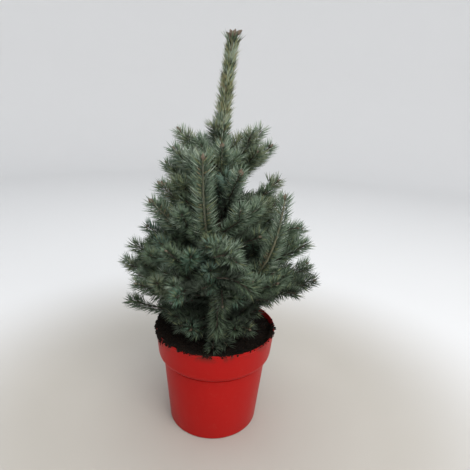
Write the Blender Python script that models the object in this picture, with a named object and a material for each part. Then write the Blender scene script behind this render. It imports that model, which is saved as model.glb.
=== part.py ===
"""A young blue spruce, about half a metre of tree, growing in a red plastic pot.

The pot stands on z = 0 with its axis on the origin, and the viewer stands at -Y.
The trunk rises from the soil to a bare leader whose needles hug it. Boughs leave it
at the places that BOUGHS names. Each carries one mass: a foliated stem with side
shoots that branch by one seeded rule, with needles that stand out of slim cores.
"""
import math
import random
from collections import namedtuple

import bmesh
import bpy
from mathutils import Vector
from mathutils.kdtree import KDTree

GAP = 0.0003                    # left between pieces that touch on the real plant

# Pot
POT_HEIGHT = 0.1825
FOOT_RADIUS = 0.0785
FOOT_ROUND = 0.003
BODY_TOP_RADIUS = 0.0905
BODY_TOP = 0.127
COLLAR_BOTTOM_RADIUS = 0.100
COLLAR_BOTTOM = 0.137
SHOULDER_STEP = 0.0035          # outwards, at the top of the body
SHOULDER_RISE = 0.0022
COLLAR_INSET = 0.002            # of the bevel under the collar
COLLAR_BEVEL = 0.004
RIM_RADIUS = 0.105
RIM_ROUND = 0.0009
POT_WALL = 0.0018
POT_SIDES = 40
DRAIN_HOLES = 6
DRAIN_SIDES = 12
DRAIN_RADIUS = 0.005
DRAIN_CIRCLE = 0.056

# Soil
SOIL_TOP = 0.173                # level of the trunk's foot
SOIL_WALL_GAP = 0.00035         # between the soil and the pot's facets
SOIL_RINGS = (0.018, 0.050, 0.080)
SOIL_HEAP = 0.0055              # how much higher the soil lies at the front left rim
SOIL_HEAP_TURN = math.radians(215)
SOIL_RIPPLE = 0.0012
SOIL_RIPPLES = 5

# Trunk: points on its centre line, and radii at heights
TRUNK_LINE = (
    (0.0, 0.0, 0.173),
    (0.001, 0.0, 0.330),
    (-0.0015, 0.0, 0.490),
    (0.005, 0.0, 0.580),
    (0.0130, 0.001, 0.655),
)
TRUNK_RADII = (
    (0.173, 0.0130), (0.179, 0.0105), (0.190, 0.0090), (0.300, 0.0076),
    (0.400, 0.0060), (0.508, 0.0040), (0.655, 0.0026),
)
TRUNK_SIDES = 10
TRUNK_RINGS = 20
FLARE_RINGS = 3
FLARE_LOBES = 5
FLARE_DEPTH = 0.10
FLARE_TOP = 0.187

# Leader: the bare shoot at the top, with needles that lean on it
LEADER_START = 0.516
LEADER_END = 0.652
LEADER_SKIN = 0.0012
LEADER_SIDES = 6
LEADER_RINGS = 12
LEADER_NEEDLE = 0.0175
LEADER_LEAN = math.radians(30)
CROWN_NEEDLE = 0.0200
CROWN_LEAN = math.radians(38)

# Bud cluster on the leader's tip
BUD_LENGTH = 0.0105
BUD_RADIUS = 0.0034
SIDE_BUDS = 5
SIDE_BUD_SHARE = 0.75
SIDE_BUD_LEAN = math.radians(48)
BUD_SIDES = 5
BUD_SEAT_SIDES = 8
BUD_OUTLINE = ((0.0, 0.55), (0.35, 1.0), (0.75, 0.62), (1.0, 0.12))

# Boughs: height of the root on the trunk, turn round it in degrees (0 = +X, 270 =
# towards the viewer), how far out the tip lies, and the height of the tip. A few also
# name the shares of the way out and up at which they bend, and how far they branch.
Bough = namedtuple("Bough", "root turn reach tip out up spread", defaults=(0.5, 0.5, 1.0))
BOUGHS = {
    "top_left": Bough(0.496, 216, 0.016, 0.526),
    "top_right": Bough(0.464, 36, 0.038, 0.506),
    "upper_left": Bough(0.444, 170, 0.066, 0.513),
    "upper_left_inner": Bough(0.452, 198, 0.038, 0.504),
    "upper_left_front": Bough(0.416, 204, 0.076, 0.490),
    "upper_right": Bough(0.448, 346, 0.062, 0.522),
    "upper_right_side": Bough(0.426, 6, 0.078, 0.495),
    "upper_back": Bough(0.444, 100, 0.056, 0.506),
    "upper_front": Bough(0.408, 272, 0.052, 0.498),
    "left_high": Bough(0.382, 174, 0.086, 0.462),
    "front_high": Bough(0.376, 290, 0.080, 0.464, spread=0.35),
    "right_high": Bough(0.376, 12, 0.098, 0.438),
    "back_high": Bough(0.382, 76, 0.084, 0.464),
    "back_left_high": Bough(0.376, 130, 0.088, 0.454),
    "left_upper_middle": Bough(0.352, 198, 0.094, 0.434),
    "right_upper_middle": Bough(0.338, 350, 0.100, 0.416),
    "front_upright": Bough(0.282, 254, 0.090, 0.484, out=0.95, up=0.42, spread=0.45),
    "left_middle": Bough(0.312, 204, 0.111, 0.410),
    "back_middle": Bough(0.316, 100, 0.112, 0.410),
    "back_right_middle": Bough(0.304, 42, 0.116, 0.392),
    "back_left_middle": Bough(0.298, 150, 0.118, 0.384),
    "right_front_upright": Bough(0.252, 321, 0.122, 0.430, out=0.91, up=0.20, spread=0.5),
    "left_lower_middle": Bough(0.284, 178, 0.118, 0.358),
    "left_reach": Bough(0.258, 194, 0.137, 0.338),
    "right_middle": Bough(0.278, 6, 0.142, 0.358),
    "front_middle": Bough(0.266, 276, 0.112, 0.346, up=1.65),
    "right_lower_middle": Bough(0.264, 346, 0.146, 0.348),
    "right_reach": Bough(0.224, 6, 0.157, 0.294),
    "front_left_middle": Bough(0.262, 234, 0.124, 0.352),
    "back_lower_middle": Bough(0.264, 78, 0.138, 0.344),
    "left_wide": Bough(0.226, 176, 0.157, 0.294),
    "left_front_wide": Bough(0.236, 208, 0.140, 0.284),
    "back_left_wide": Bough(0.246, 126, 0.146, 0.318),
    "back_right_wide": Bough(0.242, 44, 0.148, 0.312),
    "back_wide": Bough(0.228, 98, 0.146, 0.284),
    "right_wide": Bough(0.230, 350, 0.163, 0.282, up=0.65),
    "front_right_wide": Bough(0.238, 308, 0.142, 0.312),
    "front_wide": Bough(0.244, 274, 0.130, 0.284, up=2.30),
    "front_left_wide": Bough(0.244, 242, 0.126, 0.284, up=1.50),
    "left_low": Bough(0.204, 177, 0.152, 0.219, up=0.25, spread=0.35),
    "front_left_low": Bough(0.206, 232, 0.092, 0.216),
    "front_low": Bough(0.206, 268, 0.095, 0.191),
    "front_right_low": Bough(0.208, 306, 0.092, 0.214),
    "right_low": Bough(0.210, 6, 0.094, 0.232),
    "back_right_low": Bough(0.208, 58, 0.132, 0.230),
    "back_left_low": Bough(0.206, 118, 0.134, 0.230),
}
LIMB_LENGTH = 0.162             # boughs longer than this have a bare limb
BARE_SHARE = 0.21               # of the bough's length that is bare
SHORT_BARE = 0.011              # from the trunk's centre line, on the other boughs
LIMB_RADIUS = 0.0016
LIMB_GROWTH = 0.009             # a limb's foot thickens by this share of its length
LIMB_SIDES = 6
LIMB_RINGS = 3
SAG = 0.07                      # dip of a bough's middle, as a share of its length

# Side shoots
SHOOT_SEED = 11
SHOOT_SPACING = 0.018           # along the stem, left and right in turn
FIRST_SHOOT = 0.08
LAST_SHOOT = 0.60
SHOOT_ANGLE = math.radians(42)
LOWEST_TILT = -0.15             # of a shoot out of its bough's plane, as a slope
HIGHEST_TILT = 0.75
SHOOT_BOW = 0.06                # sideways bend, as a share of the shoot's length
SHOOT_SHARE = 0.85              # of the stem's length ahead of the shoot's root
LONGEST_SHOOT = 0.080
SHORTEST_SHOOT = 0.018
SHORTENING = 0.15               # taken off a shoot that has no room, each time
SHOOT_CLEAR = 0.0075            # from a shoot to another mass or a limb
TRUNK_CLEAR = 0.006
FREE_TENTHS = 3                 # of a shoot's length, where its own bough may be near
LENGTH_VARIES = (0.87, 1.09)    # of shoots and needles
LEAN_VARIES = (0.85, 1.15)

# Needles
CORE_RADIUS = 0.0021
SHOOT_RADIUS = 0.0018
CORE_TIP_RADIUS = 0.0012
CORE_SIDES = 3
NEEDLE_PITCH = 0.0142           # length of core that one ring of needles takes
NEEDLE_LENGTH = 0.0182
NEEDLE_LEAN = math.radians(52)
NEEDLE_TWIST = math.radians(40)
NEEDLE_CLEAR = 0.0007           # from a needle to the middle between two masses
SOIL_CLEAR = 0.004
BUD_TIP = 0.006

# Angles between faces above which an edge stays sharp
POT_SHARP = math.radians(35)
SOIL_SHARP = math.radians(50)
WOOD_SHARP = math.radians(60)
BUD_SHARP = math.radians(46)

UP = Vector((0.0, 0.0, 1.0))


# Plain helpers

def clear_scene():
    """Remove every object, so that the script can be run again."""
    for old in list(bpy.data.objects):
        bpy.data.objects.remove(old, do_unlink=True)


def make_material(name, color, roughness, metallic=0.0):
    """Return a Principled material."""
    material = bpy.data.materials.new(name)
    material.use_nodes = True
    shader = material.node_tree.nodes["Principled BSDF"]
    shader.inputs["Base Color"].default_value = (*color, 1.0)
    shader.inputs["Roughness"].default_value = roughness
    shader.inputs["Metallic"].default_value = metallic
    material.diffuse_color = (*color, 1.0)
    return material


def finish_object(bm, name, material, smooth_angle=None):
    """Turn a bmesh into a named object in the scene."""
    bmesh.ops.recalc_face_normals(bm, faces=bm.faces)
    mesh = bpy.data.meshes.new(name)
    bm.to_mesh(mesh)
    bm.free()
    mesh.materials.append(material)
    if smooth_angle is not None:
        mesh.shade_smooth()
        mesh.set_sharp_from_angle(angle=smooth_angle)
    obj = bpy.data.objects.new(name, mesh)
    bpy.context.scene.collection.objects.link(obj)
    return obj


def interpolate(table, z):
    """Read a value from (height, value) pairs."""
    if z <= table[0][0]:
        return table[0][1]
    for (low, a), (high, b) in zip(table, table[1:]):
        if z <= high:
            return a + (b - a) * (z - low) / (high - low)
    return table[-1][1]


def tube(bm, points, radii, sides, twist=0.0):
    """Loft a closed tube through points, and return its side faces and its far end."""
    rings = []
    side = None
    for i, (point, radius) in enumerate(zip(points, radii)):
        ahead = (points[min(i + 1, len(points) - 1)] - points[max(i - 1, 0)]).normalized()
        if side is None:
            side = ahead.cross(UP if abs(ahead.z) < 0.9 else Vector((1.0, 0.0, 0.0)))
        side = (side - ahead * side.dot(ahead)).normalized()
        other = ahead.cross(side)
        turn = twist * i
        rings.append([
            bm.verts.new(point + radius * (side * math.cos(a) + other * math.sin(a)))
            for a in (turn + math.tau * k / sides for k in range(sides))
        ])
    return skin(bm, rings)


def skin(bm, rings):
    """Join rings of vertices into a closed tube; return its side faces and far end."""
    walls = []
    for low, high in zip(rings, rings[1:]):
        count = len(low)
        walls += [bm.faces.new((low[k], low[(k + 1) % count], high[(k + 1) % count], high[k]))
                  for k in range(count)]
    bm.faces.new(rings[0][::-1])
    return walls, bm.faces.new(rings[-1])


# Where the trunk, the boughs and the side shoots run

def trunk_point(z):
    """Return the trunk's centre at height z, on a curve through TRUNK_LINE."""
    line = [Vector(p) for p in TRUNK_LINE]
    for i in range(len(line) - 1):
        if z <= line[i + 1].z or i == len(line) - 2:
            break
    before = line[max(i - 1, 0)]
    after = line[min(i + 2, len(line) - 1)]
    low, high = line[i], line[i + 1]
    t = (z - low.z) / (high.z - low.z)
    low_slope = (high - before) / (high.z - before.z) * (high.z - low.z)
    high_slope = (after - low) / (after.z - low.z) * (high.z - low.z)
    point = (low * (2 * t ** 3 - 3 * t ** 2 + 1) + low_slope * (t ** 3 - 2 * t ** 2 + t)
             + high * (3 * t ** 2 - 2 * t ** 3) + high_slope * (t ** 3 - t ** 2))
    return Vector((point.x, point.y, z))


def trunk_radius(z):
    return interpolate(TRUNK_RADII, z)


def bough_curve(bough):
    """Return the three points that bend a bough, from the trunk's centre to its tip."""
    turn = math.radians(bough.turn)
    start = trunk_point(bough.root)
    tip = Vector((bough.reach * math.cos(turn), bough.reach * math.sin(turn), bough.tip))
    dip = SAG * (tip - start).length
    bend = start.lerp(tip, bough.out)
    bend.z = start.z + (tip.z - start.z) * bough.up - dip
    return start, bend, tip


def bough_length(bough):
    start, _, tip = bough_curve(bough)
    return (tip - start).length


def has_limb(bough):
    """Tell whether a bough is long enough to show a bare limb."""
    return bough_length(bough) > LIMB_LENGTH


def on_curve(curve, t):
    a, b, c = curve
    return a.lerp(b, t).lerp(b.lerp(c, t), t)


def along_curve(curve, t):
    a, b, c = curve
    return (b - a).lerp(c - b, t).normalized()


def bare_part(bough):
    """Return how far along its curve, from 0 to 1, a bough carries no needles."""
    if has_limb(bough):
        return BARE_SHARE
    return (trunk_radius(bough.root) + SHORT_BARE) / bough_length(bough)


def side_shoots(name, bough):
    """Return the curves of a bough's side shoots, from the first to the last."""
    dice = random.Random(f"{name} {SHOOT_SEED}")
    curve = bough_curve(bough)
    length = bough_length(bough)
    bare = bare_part(bough)
    span = LAST_SHOOT - FIRST_SHOOT
    count = max(1, round(length * (1 - bare) * span / SHOOT_SPACING))
    side = dice.choice((-1, 1))
    shoots = []
    for k in range(count):
        share = FIRST_SHOOT + span * (k + dice.uniform(-0.2, 0.2)) / max(count - 1, 1)
        t = bare + (1 - bare) * max(share, FIRST_SHOOT / 2)
        ahead = along_curve(curve, t)
        flat = ahead.cross(UP).normalized()
        over = flat.cross(ahead)
        outward = (flat * side + over * dice.uniform(LOWEST_TILT, HIGHEST_TILT)).normalized()
        side = -side
        heading = ahead * math.cos(SHOOT_ANGLE) + outward * math.sin(SHOOT_ANGLE)
        reach = min(length * (1 - t) * SHOOT_SHARE * dice.uniform(*LENGTH_VARIES), LONGEST_SHOOT)
        reach *= bough.spread
        if reach < SHORTEST_SHOOT:
            continue
        root = on_curve(curve, t)
        bend = outward * reach * SHOOT_BOW
        shoots.append((root, root + heading * reach * 0.5 + bend, root + heading * reach))
    return shoots


# Which place belongs to which mass

class Places:
    """Points along every stem, each marked with the piece that owns it."""

    STEP = 0.004

    def __init__(self):
        self.points = []
        self.owners = []
        self.tree = None

    def add(self, curve, start, owner):
        length = (curve[2] - curve[0]).length
        count = max(2, round(length * (1 - start) / self.STEP))
        for k in range(count + 1):
            self.points.append(on_curve(curve, start + (1 - start) * k / count))
            self.owners.append(owner)
        self.tree = None

    def build(self):
        self.tree = KDTree(len(self.points))
        for i, point in enumerate(self.points):
            self.tree.insert(point, i)
        self.tree.balance()

    def distances(self, point, owner, reach):
        """Return how far the nearest stem of this owner and of any other lies."""
        own = other = reach
        for _, index, distance in self.tree.find_range(point, reach):
            if self.owners[index] == owner:
                own = min(own, distance)
            else:
                other = min(other, distance)
        return own, other


def clear_of_trunk(point, margin):
    """Tell whether a point is outside the trunk by a margin."""
    if point.z > LEADER_END:
        return True
    centre = trunk_point(max(point.z, SOIL_TOP))
    flat = Vector((point.x - centre.x, point.y - centre.y))
    return flat.length > trunk_radius(point.z) + margin


def clear_of_pot(point, margin):
    """Tell whether a point is above the soil and the rim by a margin."""
    flat = math.hypot(point.x, point.y)
    if flat > RIM_RADIUS + margin:
        return point.z > COLLAR_BOTTOM
    inner = RIM_RADIUS - POT_WALL - margin
    floor = POT_HEIGHT if flat > inner else soil_height(point.x, point.y)
    return point.z > floor + margin


def grow_crown():
    """Settle every stem and the side shoots that find room, and return both."""
    places = Places()
    for name, bough in BOUGHS.items():
        curve = bough_curve(bough)
        bare = bare_part(bough)
        places.add(curve, bare, name)
        limb = (curve[0], on_curve(curve, bare / 2), on_curve(curve, bare))
        places.add(limb, 0.2, f"{name} limb")
    middle = (LEADER_START + LEADER_END) / 2
    leader = (trunk_point(LEADER_START), trunk_point(middle), trunk_point(LEADER_END))
    places.add(leader, 0.0, "leader")
    places.build()
    crown = {}
    for name, bough in BOUGHS.items():
        shoots = []
        for shoot in side_shoots(name, bough):
            kept = fit_shoot(shoot, name, places)
            if kept:
                shoots.append(kept)
                places.add(kept, 0.0, name)
                places.build()
        crown[name] = shoots
    return crown, places


def fit_shoot(shoot, owner, places):
    """Shorten a shoot until it has room, or return None."""
    length = (shoot[2] - shoot[0]).length
    share = 1.0
    while length * share > SHORTEST_SHOOT:
        bent = (shoot[0], shoot[0].lerp(shoot[1], share), on_curve(shoot, share))
        if all(has_room(on_curve(bent, tenth / 10), owner, places) for tenth in range(FREE_TENTHS, 11)):
            return bent
        share -= SHORTENING
    return None


def has_room(point, owner, places):
    _, other = places.distances(point, owner, SHOOT_CLEAR)
    return (other >= SHOOT_CLEAR and clear_of_trunk(point, TRUNK_CLEAR)
            and clear_of_pot(point, SOIL_CLEAR))


def in_own_space(tip, owner, places):
    own, other = places.distances(tip, owner, NEEDLE_LENGTH * 2)
    return own + 2 * NEEDLE_CLEAR < other


def needle_fits(tip, owner, places):
    return (in_own_space(tip, owner, places) and clear_of_trunk(tip, TRUNK_CLEAR / 2)
            and clear_of_pot(tip, SOIL_CLEAR / 2))


# Needled shoots

def needled_shoot(bm, curve, start, owner, places, dice, first_radius):
    """Build a slim core along a curve, with needles that stand out of its sides."""
    length = (curve[2] - curve[0]).length * (1 - start)
    count = max(2, round(length / NEEDLE_PITCH))
    points = [on_curve(curve, start + (1 - start) * k / count) for k in range(count + 1)]
    radii = [first_radius + (CORE_TIP_RADIUS - first_radius) * k / count for k in range(count + 1)]
    walls, end_face = tube(bm, points, radii, CORE_SIDES, NEEDLE_TWIST)
    for k, face in enumerate(walls[CORE_SIDES:], CORE_SIDES):
        ring = k // CORE_SIDES
        lean = NEEDLE_LEAN * dice.uniform(*LEAN_VARIES)
        reach = NEEDLE_LENGTH * dice.uniform(*LENGTH_VARIES)
        centre = face.calc_center_median()
        if not clear_of_trunk(centre, TRUNK_CLEAR):
            continue
        ahead = (points[ring + 1] - points[ring]).normalized()
        outward = centre - (points[ring] + points[ring + 1]) / 2
        outward = (outward - ahead * outward.dot(ahead)).normalized()
        tip = centre + reach * (ahead * math.cos(lean) + outward * math.sin(lean))
        if needle_fits(tip, owner, places):
            poke_to(bm, face, tip)
    poke_to(bm, end_face, points[-1] + (points[-1] - points[-2]).normalized() * BUD_TIP)
    bmesh.ops.triangulate(bm, faces=bm.faces)


def poke_to(bm, face, tip):
    """Raise one face into a spike that ends at tip."""
    poked = bmesh.ops.poke(bm, faces=[face])
    poked["verts"][0].co = tip


def mass_objects(name, bough, shoots, places, material):
    """Build a mass: its stem first, then its side shoots, each its own object."""
    dice = random.Random(f"needles {name}")
    start = bare_part(bough) + GAP / 2 / bough_length(bough) if has_limb(bough) else 0.0
    pieces = []
    for k, curve in enumerate([bough_curve(bough), *shoots]):
        bm = bmesh.new()
        is_stem = k == 0
        radius = CORE_RADIUS if is_stem else SHOOT_RADIUS
        needled_shoot(bm, curve, start if is_stem else 0.0, name, places, dice, radius)
        pieces.append(finish_object(bm, name if is_stem else f"{name}_shoot_{k}", material))
    return pieces


# Booleans

def apply_boolean(obj, collection, operation, solver="EXACT"):
    """Join or cut obj with all that a collection holds, and remove what it holds."""
    modifier = obj.modifiers.new("join", "BOOLEAN")
    modifier.operation = operation
    modifier.solver = solver
    modifier.operand_type = "COLLECTION"
    modifier.collection = collection
    bpy.context.view_layer.update()
    evaluated = obj.evaluated_get(bpy.context.evaluated_depsgraph_get())
    joined = bpy.data.meshes.new_from_object(evaluated)
    obj.modifiers.remove(modifier)
    keep_main_body(joined)
    if solver == "EXACT" and not is_closed(joined):
        bpy.data.meshes.remove(joined)
        apply_boolean(obj, collection, operation, "MANIFOLD")
        return
    obj.data = joined
    joined.name = obj.name


def collect(objects, name):
    """Move objects into a collection of their own."""
    collection = bpy.data.collections.new(name)
    bpy.context.scene.collection.children.link(collection)
    for obj in objects:
        bpy.context.scene.collection.objects.unlink(obj)
        collection.objects.link(obj)
    return collection


def discard(collection):
    for obj in list(collection.objects):
        bpy.data.objects.remove(obj, do_unlink=True)
    bpy.data.collections.remove(collection)


def is_closed(mesh):
    """Tell whether every edge of a mesh has two faces."""
    bm = bmesh.new()
    bm.from_mesh(mesh)
    closed = all(len(edge.link_faces) == 2 for edge in bm.edges)
    bm.free()
    return closed


def keep_main_body(mesh):
    """Drop loose scraps and the walls of sealed hollows, and keep the largest shell."""
    bm = bmesh.new()
    bm.from_mesh(mesh)
    bmesh.ops.remove_doubles(bm, verts=bm.verts, dist=1e-6)
    bmesh.ops.dissolve_degenerate(bm, edges=bm.edges, dist=1e-6)
    bmesh.ops.triangulate(bm, faces=bm.faces)
    waiting = set(bm.faces)
    shells = []
    while waiting:
        stack = [waiting.pop()]
        shell = []
        while stack:
            face = stack.pop()
            shell.append(face)
            for edge in face.edges:
                for neighbour in edge.link_faces:
                    if neighbour in waiting:
                        waiting.remove(neighbour)
                        stack.append(neighbour)
        shells.append(shell)
    shells.sort(key=len)
    loose = [face for shell in shells[:-1] for face in shell]
    bmesh.ops.delete(bm, geom=loose, context="FACES")
    bm.to_mesh(mesh)
    bm.free()


# The pieces

def pot_profile():
    """Return the outer and inner outline of the pot, as (radius, height)."""
    outer = [(0.0, 0.0), (FOOT_RADIUS - FOOT_ROUND, 0.0)]
    for k in (1, 2):
        a = math.pi / 2 * k / 2
        outer.append((FOOT_RADIUS - FOOT_ROUND * (1 - math.sin(a)), FOOT_ROUND * (1 - math.cos(a))))
    outer += [
        (BODY_TOP_RADIUS, BODY_TOP),
        (BODY_TOP_RADIUS + SHOULDER_STEP, BODY_TOP + SHOULDER_RISE),
        (COLLAR_BOTTOM_RADIUS - COLLAR_INSET, COLLAR_BOTTOM - COLLAR_BEVEL),
        (COLLAR_BOTTOM_RADIUS, COLLAR_BOTTOM),
        (RIM_RADIUS, POT_HEIGHT - RIM_ROUND),
        (RIM_RADIUS - RIM_ROUND, POT_HEIGHT),
    ]
    inner = [
        (RIM_RADIUS - POT_WALL, POT_HEIGHT - RIM_ROUND),
        (COLLAR_BOTTOM_RADIUS - POT_WALL, COLLAR_BOTTOM + POT_WALL / 2),
        (BODY_TOP_RADIUS - POT_WALL, BODY_TOP + POT_WALL),
        (FOOT_RADIUS - POT_WALL, FOOT_ROUND + POT_WALL),
        (0.0, POT_WALL),
    ]
    return outer, inner


def spin_profile(bm, profile, sides):
    """Turn an open outline, whose ends lie on the axis, into a closed solid."""
    verts = [bm.verts.new((radius, 0.0, height)) for radius, height in profile]
    edges = [bm.edges.new(pair) for pair in zip(verts, verts[1:])]
    bmesh.ops.spin(
        bm, geom=verts + edges, cent=(0.0, 0.0, 0.0), axis=(0.0, 0.0, 1.0),
        angle=math.tau, steps=sides, use_merge=True)
    bmesh.ops.remove_doubles(bm, verts=bm.verts, dist=1e-6)


def make_pot(material):
    bm = bmesh.new()
    outer, inner = pot_profile()
    spin_profile(bm, outer + inner, POT_SIDES)
    pot = finish_object(bm, "pot", material, POT_SHARP)
    cutters = []
    for k in range(DRAIN_HOLES):
        turn = math.tau * (k + 0.5) / DRAIN_HOLES
        bm = bmesh.new()
        bmesh.ops.create_cone(
            bm, cap_ends=True, segments=DRAIN_SIDES, radius1=DRAIN_RADIUS,
            radius2=DRAIN_RADIUS, depth=4 * POT_WALL)
        bmesh.ops.translate(
            bm, verts=bm.verts,
            vec=(DRAIN_CIRCLE * math.cos(turn), DRAIN_CIRCLE * math.sin(turn), 0.0))
        cutters.append(finish_object(bm, f"drain_cutter_{k}", material))
    holes = collect(cutters, "drain holes")
    apply_boolean(pot, holes, "DIFFERENCE")
    discard(holes)
    return pot


def soil_height(x, y):
    """Return the level of the soil: flat at the trunk, heaped towards the front left."""
    flat = math.hypot(x, y)
    share = max(0.0, (flat - SOIL_RINGS[0]) / (RIM_RADIUS - SOIL_RINGS[0]))
    turn = math.atan2(y, x)
    heap = SOIL_HEAP * (0.5 + 0.5 * math.cos(turn - SOIL_HEAP_TURN)) * share
    ripple = SOIL_RIPPLE * math.sin(SOIL_RIPPLES * turn + math.tau * share) * share
    return SOIL_TOP - GAP + heap + ripple


def make_soil(material):
    """Fill the pot, a hair clear of its walls."""
    _, inner = pot_profile()
    (rim_radius, rim_height), (collar_radius, collar_height), body_top, floor = inner[:4]
    slope = (rim_radius - collar_radius) / (rim_height - collar_height)
    edge = collar_radius + slope * (SOIL_TOP - collar_height)
    walls = [(floor[0], floor[1] + SOIL_WALL_GAP), body_top, (collar_radius, collar_height)]
    bm = bmesh.new()
    rings = []
    turns = [math.tau * k / POT_SIDES for k in range(POT_SIDES)]
    for radius, height in walls:
        r = radius - SOIL_WALL_GAP
        rings.append([bm.verts.new((r * math.cos(a), r * math.sin(a), height)) for a in turns])
    for radius in (edge, *SOIL_RINGS[::-1]):
        r = radius - SOIL_WALL_GAP
        level = [(r * math.cos(a), r * math.sin(a)) for a in turns]
        rings.append([bm.verts.new((x, y, soil_height(x, y))) for x, y in level])
    skin(bm, rings)
    return finish_object(bm, "soil", material, SOIL_SHARP)


def trunk_tube(bm, swell=0.0):
    """Build the trunk with level rings, grown outwards by swell."""
    heights = [SOIL_TOP + (FLARE_TOP - SOIL_TOP) * k / FLARE_RINGS for k in range(FLARE_RINGS)]
    heights += [FLARE_TOP + (LEADER_END - FLARE_TOP) * k / TRUNK_RINGS for k in range(TRUNK_RINGS + 1)]
    rings = []
    for z in heights:
        centre = trunk_point(z)
        flare = FLARE_DEPTH * max(0.0, (FLARE_TOP - z) / (FLARE_TOP - SOIL_TOP))
        rings.append([])
        for k in range(TRUNK_SIDES):
            a = math.tau * k / TRUNK_SIDES
            radius = trunk_radius(z) * (1 + flare * math.cos(FLARE_LOBES * a)) + swell
            rings[-1].append(bm.verts.new(centre + radius * Vector((math.cos(a), math.sin(a), 0.0))))
    skin(bm, rings)


def make_trunk(material):
    bm = bmesh.new()
    trunk_tube(bm)
    return finish_object(bm, "trunk", material, WOOD_SHARP)


def make_trunk_cutter(material):
    """A trunk that is GAP fatter, which cuts the foot of each limb and stem."""
    bm = bmesh.new()
    trunk_tube(bm, swell=GAP / math.cos(math.pi / TRUNK_SIDES))
    cutter = finish_object(bm, "trunk_cutter", material)
    cutter.hide_render = True
    cutter.display_type = "WIRE"
    return cutter


def make_limb(name, bough, material):
    """Build the bare, tapering part of a bough, from inside the trunk to its mass."""
    curve = bough_curve(bough)
    length = bough_length(bough)
    end = bare_part(bough) - GAP / 2 / length
    steps = [end * k / (LIMB_RINGS - 1) for k in range(LIMB_RINGS)]
    foot = LIMB_RADIUS + LIMB_GROWTH * length
    radii = [foot + (CORE_RADIUS - foot) * t / end for t in steps]
    bm = bmesh.new()
    tube(bm, [on_curve(curve, t) for t in steps], radii, LIMB_SIDES)
    return finish_object(bm, f"bough_{name}", material, WOOD_SHARP)


def make_leader_needles(places, material):
    """Build the sleeve of needles that hugs the leader, open at both ends."""
    dice = random.Random("leader")
    bm = bmesh.new()
    heights = [LEADER_START + (LEADER_END - LEADER_START) * k / LEADER_RINGS
               for k in range(LEADER_RINGS + 1)]
    bore = GAP / math.cos(math.pi / TRUNK_SIDES)
    outer, inner = [], []
    for i, z in enumerate(heights):
        centre = trunk_point(z)
        turn = math.pi / LEADER_SIDES * (i % 2)
        wall = (trunk_radius(z) + bore) / math.cos(math.pi / LEADER_SIDES)
        outer.append([
            bm.verts.new(centre + (wall + LEADER_SKIN) * Vector((math.cos(a), math.sin(a), 0.0)))
            for a in (turn + math.tau * k / LEADER_SIDES for k in range(LEADER_SIDES))])
        inner.append([
            bm.verts.new(centre + (trunk_radius(z) + bore) * Vector((math.cos(a), math.sin(a), 0.0)))
            for a in (math.tau * k / TRUNK_SIDES for k in range(TRUNK_SIDES))])
    sides = []
    for i in range(LEADER_RINGS):
        for k in range(LEADER_SIDES):
            n = (k + 1) % LEADER_SIDES
            if i % 2 == 0:
                triangles = ((outer[i][k], outer[i][n], outer[i + 1][k]),
                             (outer[i][n], outer[i + 1][n], outer[i + 1][k]))
            else:
                triangles = ((outer[i][k], outer[i + 1][n], outer[i + 1][k]),
                             (outer[i][k], outer[i][n], outer[i + 1][n]))
            sides += [(i, bm.faces.new(corners)) for corners in triangles]
        for k in range(TRUNK_SIDES):
            n = (k + 1) % TRUNK_SIDES
            bm.faces.new((inner[i][k], inner[i + 1][k], inner[i + 1][n], inner[i][n]))
    for ring_out, ring_in in ((outer[0], inner[0]), (outer[-1], inner[-1])):
        edges = [bm.edges.get((ring[k], ring[(k + 1) % len(ring)]))
                 for ring in (ring_out, ring_in) for k in range(len(ring))]
        bmesh.ops.bridge_loops(bm, edges=edges)
    for i, face in sides:
        top = i >= LEADER_RINGS - 1
        lean = (CROWN_LEAN if top else LEADER_LEAN) * dice.uniform(*LEAN_VARIES)
        reach = (CROWN_NEEDLE if top else LEADER_NEEDLE) * dice.uniform(*LENGTH_VARIES)
        centre = face.calc_center_median()
        axis = trunk_point(centre.z)
        ahead = (trunk_point(heights[i + 1]) - trunk_point(heights[i])).normalized()
        outward = (centre - axis).normalized()
        tip = centre + reach * (ahead * math.cos(lean) + outward * math.sin(lean))
        if in_own_space(tip, "leader", places):
            poke_to(bm, face, tip)
    return finish_object(bm, "leader_needles", material)


def make_leader_buds(material):
    """Build the cluster of buds that closes the leader."""
    top = trunk_point(LEADER_END)
    ahead = (top - trunk_point(LEADER_START)).normalized()
    side = ahead.cross(Vector((0.0, 1.0, 0.0))).normalized()
    other = ahead.cross(side)
    foot = top + UP * GAP
    lift = Vector((0.0, 0.0, BUD_RADIUS))
    pieces = []
    for k in range(SIDE_BUDS + 1):
        share = 1.0 if k == 0 else SIDE_BUD_SHARE
        turn = math.tau * k / SIDE_BUDS
        lean = 0.0 if k == 0 else SIDE_BUD_LEAN
        way = ahead * math.cos(lean) + (side * math.cos(turn) + other * math.sin(turn)) * math.sin(lean)
        bm = bmesh.new()
        tube(bm, [foot + lift * 0.9 + way * BUD_LENGTH * share * t for t, _ in BUD_OUTLINE],
             [BUD_RADIUS * share * width for _, width in BUD_OUTLINE], BUD_SIDES)
        part_name = "leader_buds" if k == 0 else f"side_bud_{k}"
        pieces.append(finish_object(bm, part_name, material, BUD_SHARP))
    bm = bmesh.new()
    bmesh.ops.create_cone(
        bm, cap_ends=True, segments=BUD_SEAT_SIDES, radius1=trunk_radius(LEADER_END),
        radius2=BUD_RADIUS, depth=BUD_RADIUS)
    bmesh.ops.translate(bm, verts=bm.verts, vec=foot + lift / 2)
    pieces.append(finish_object(bm, "bud_seat", material))
    rest = collect(pieces[1:], "bud parts")
    apply_boolean(pieces[0], rest, "UNION")
    discard(rest)
    return pieces[0]


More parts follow.
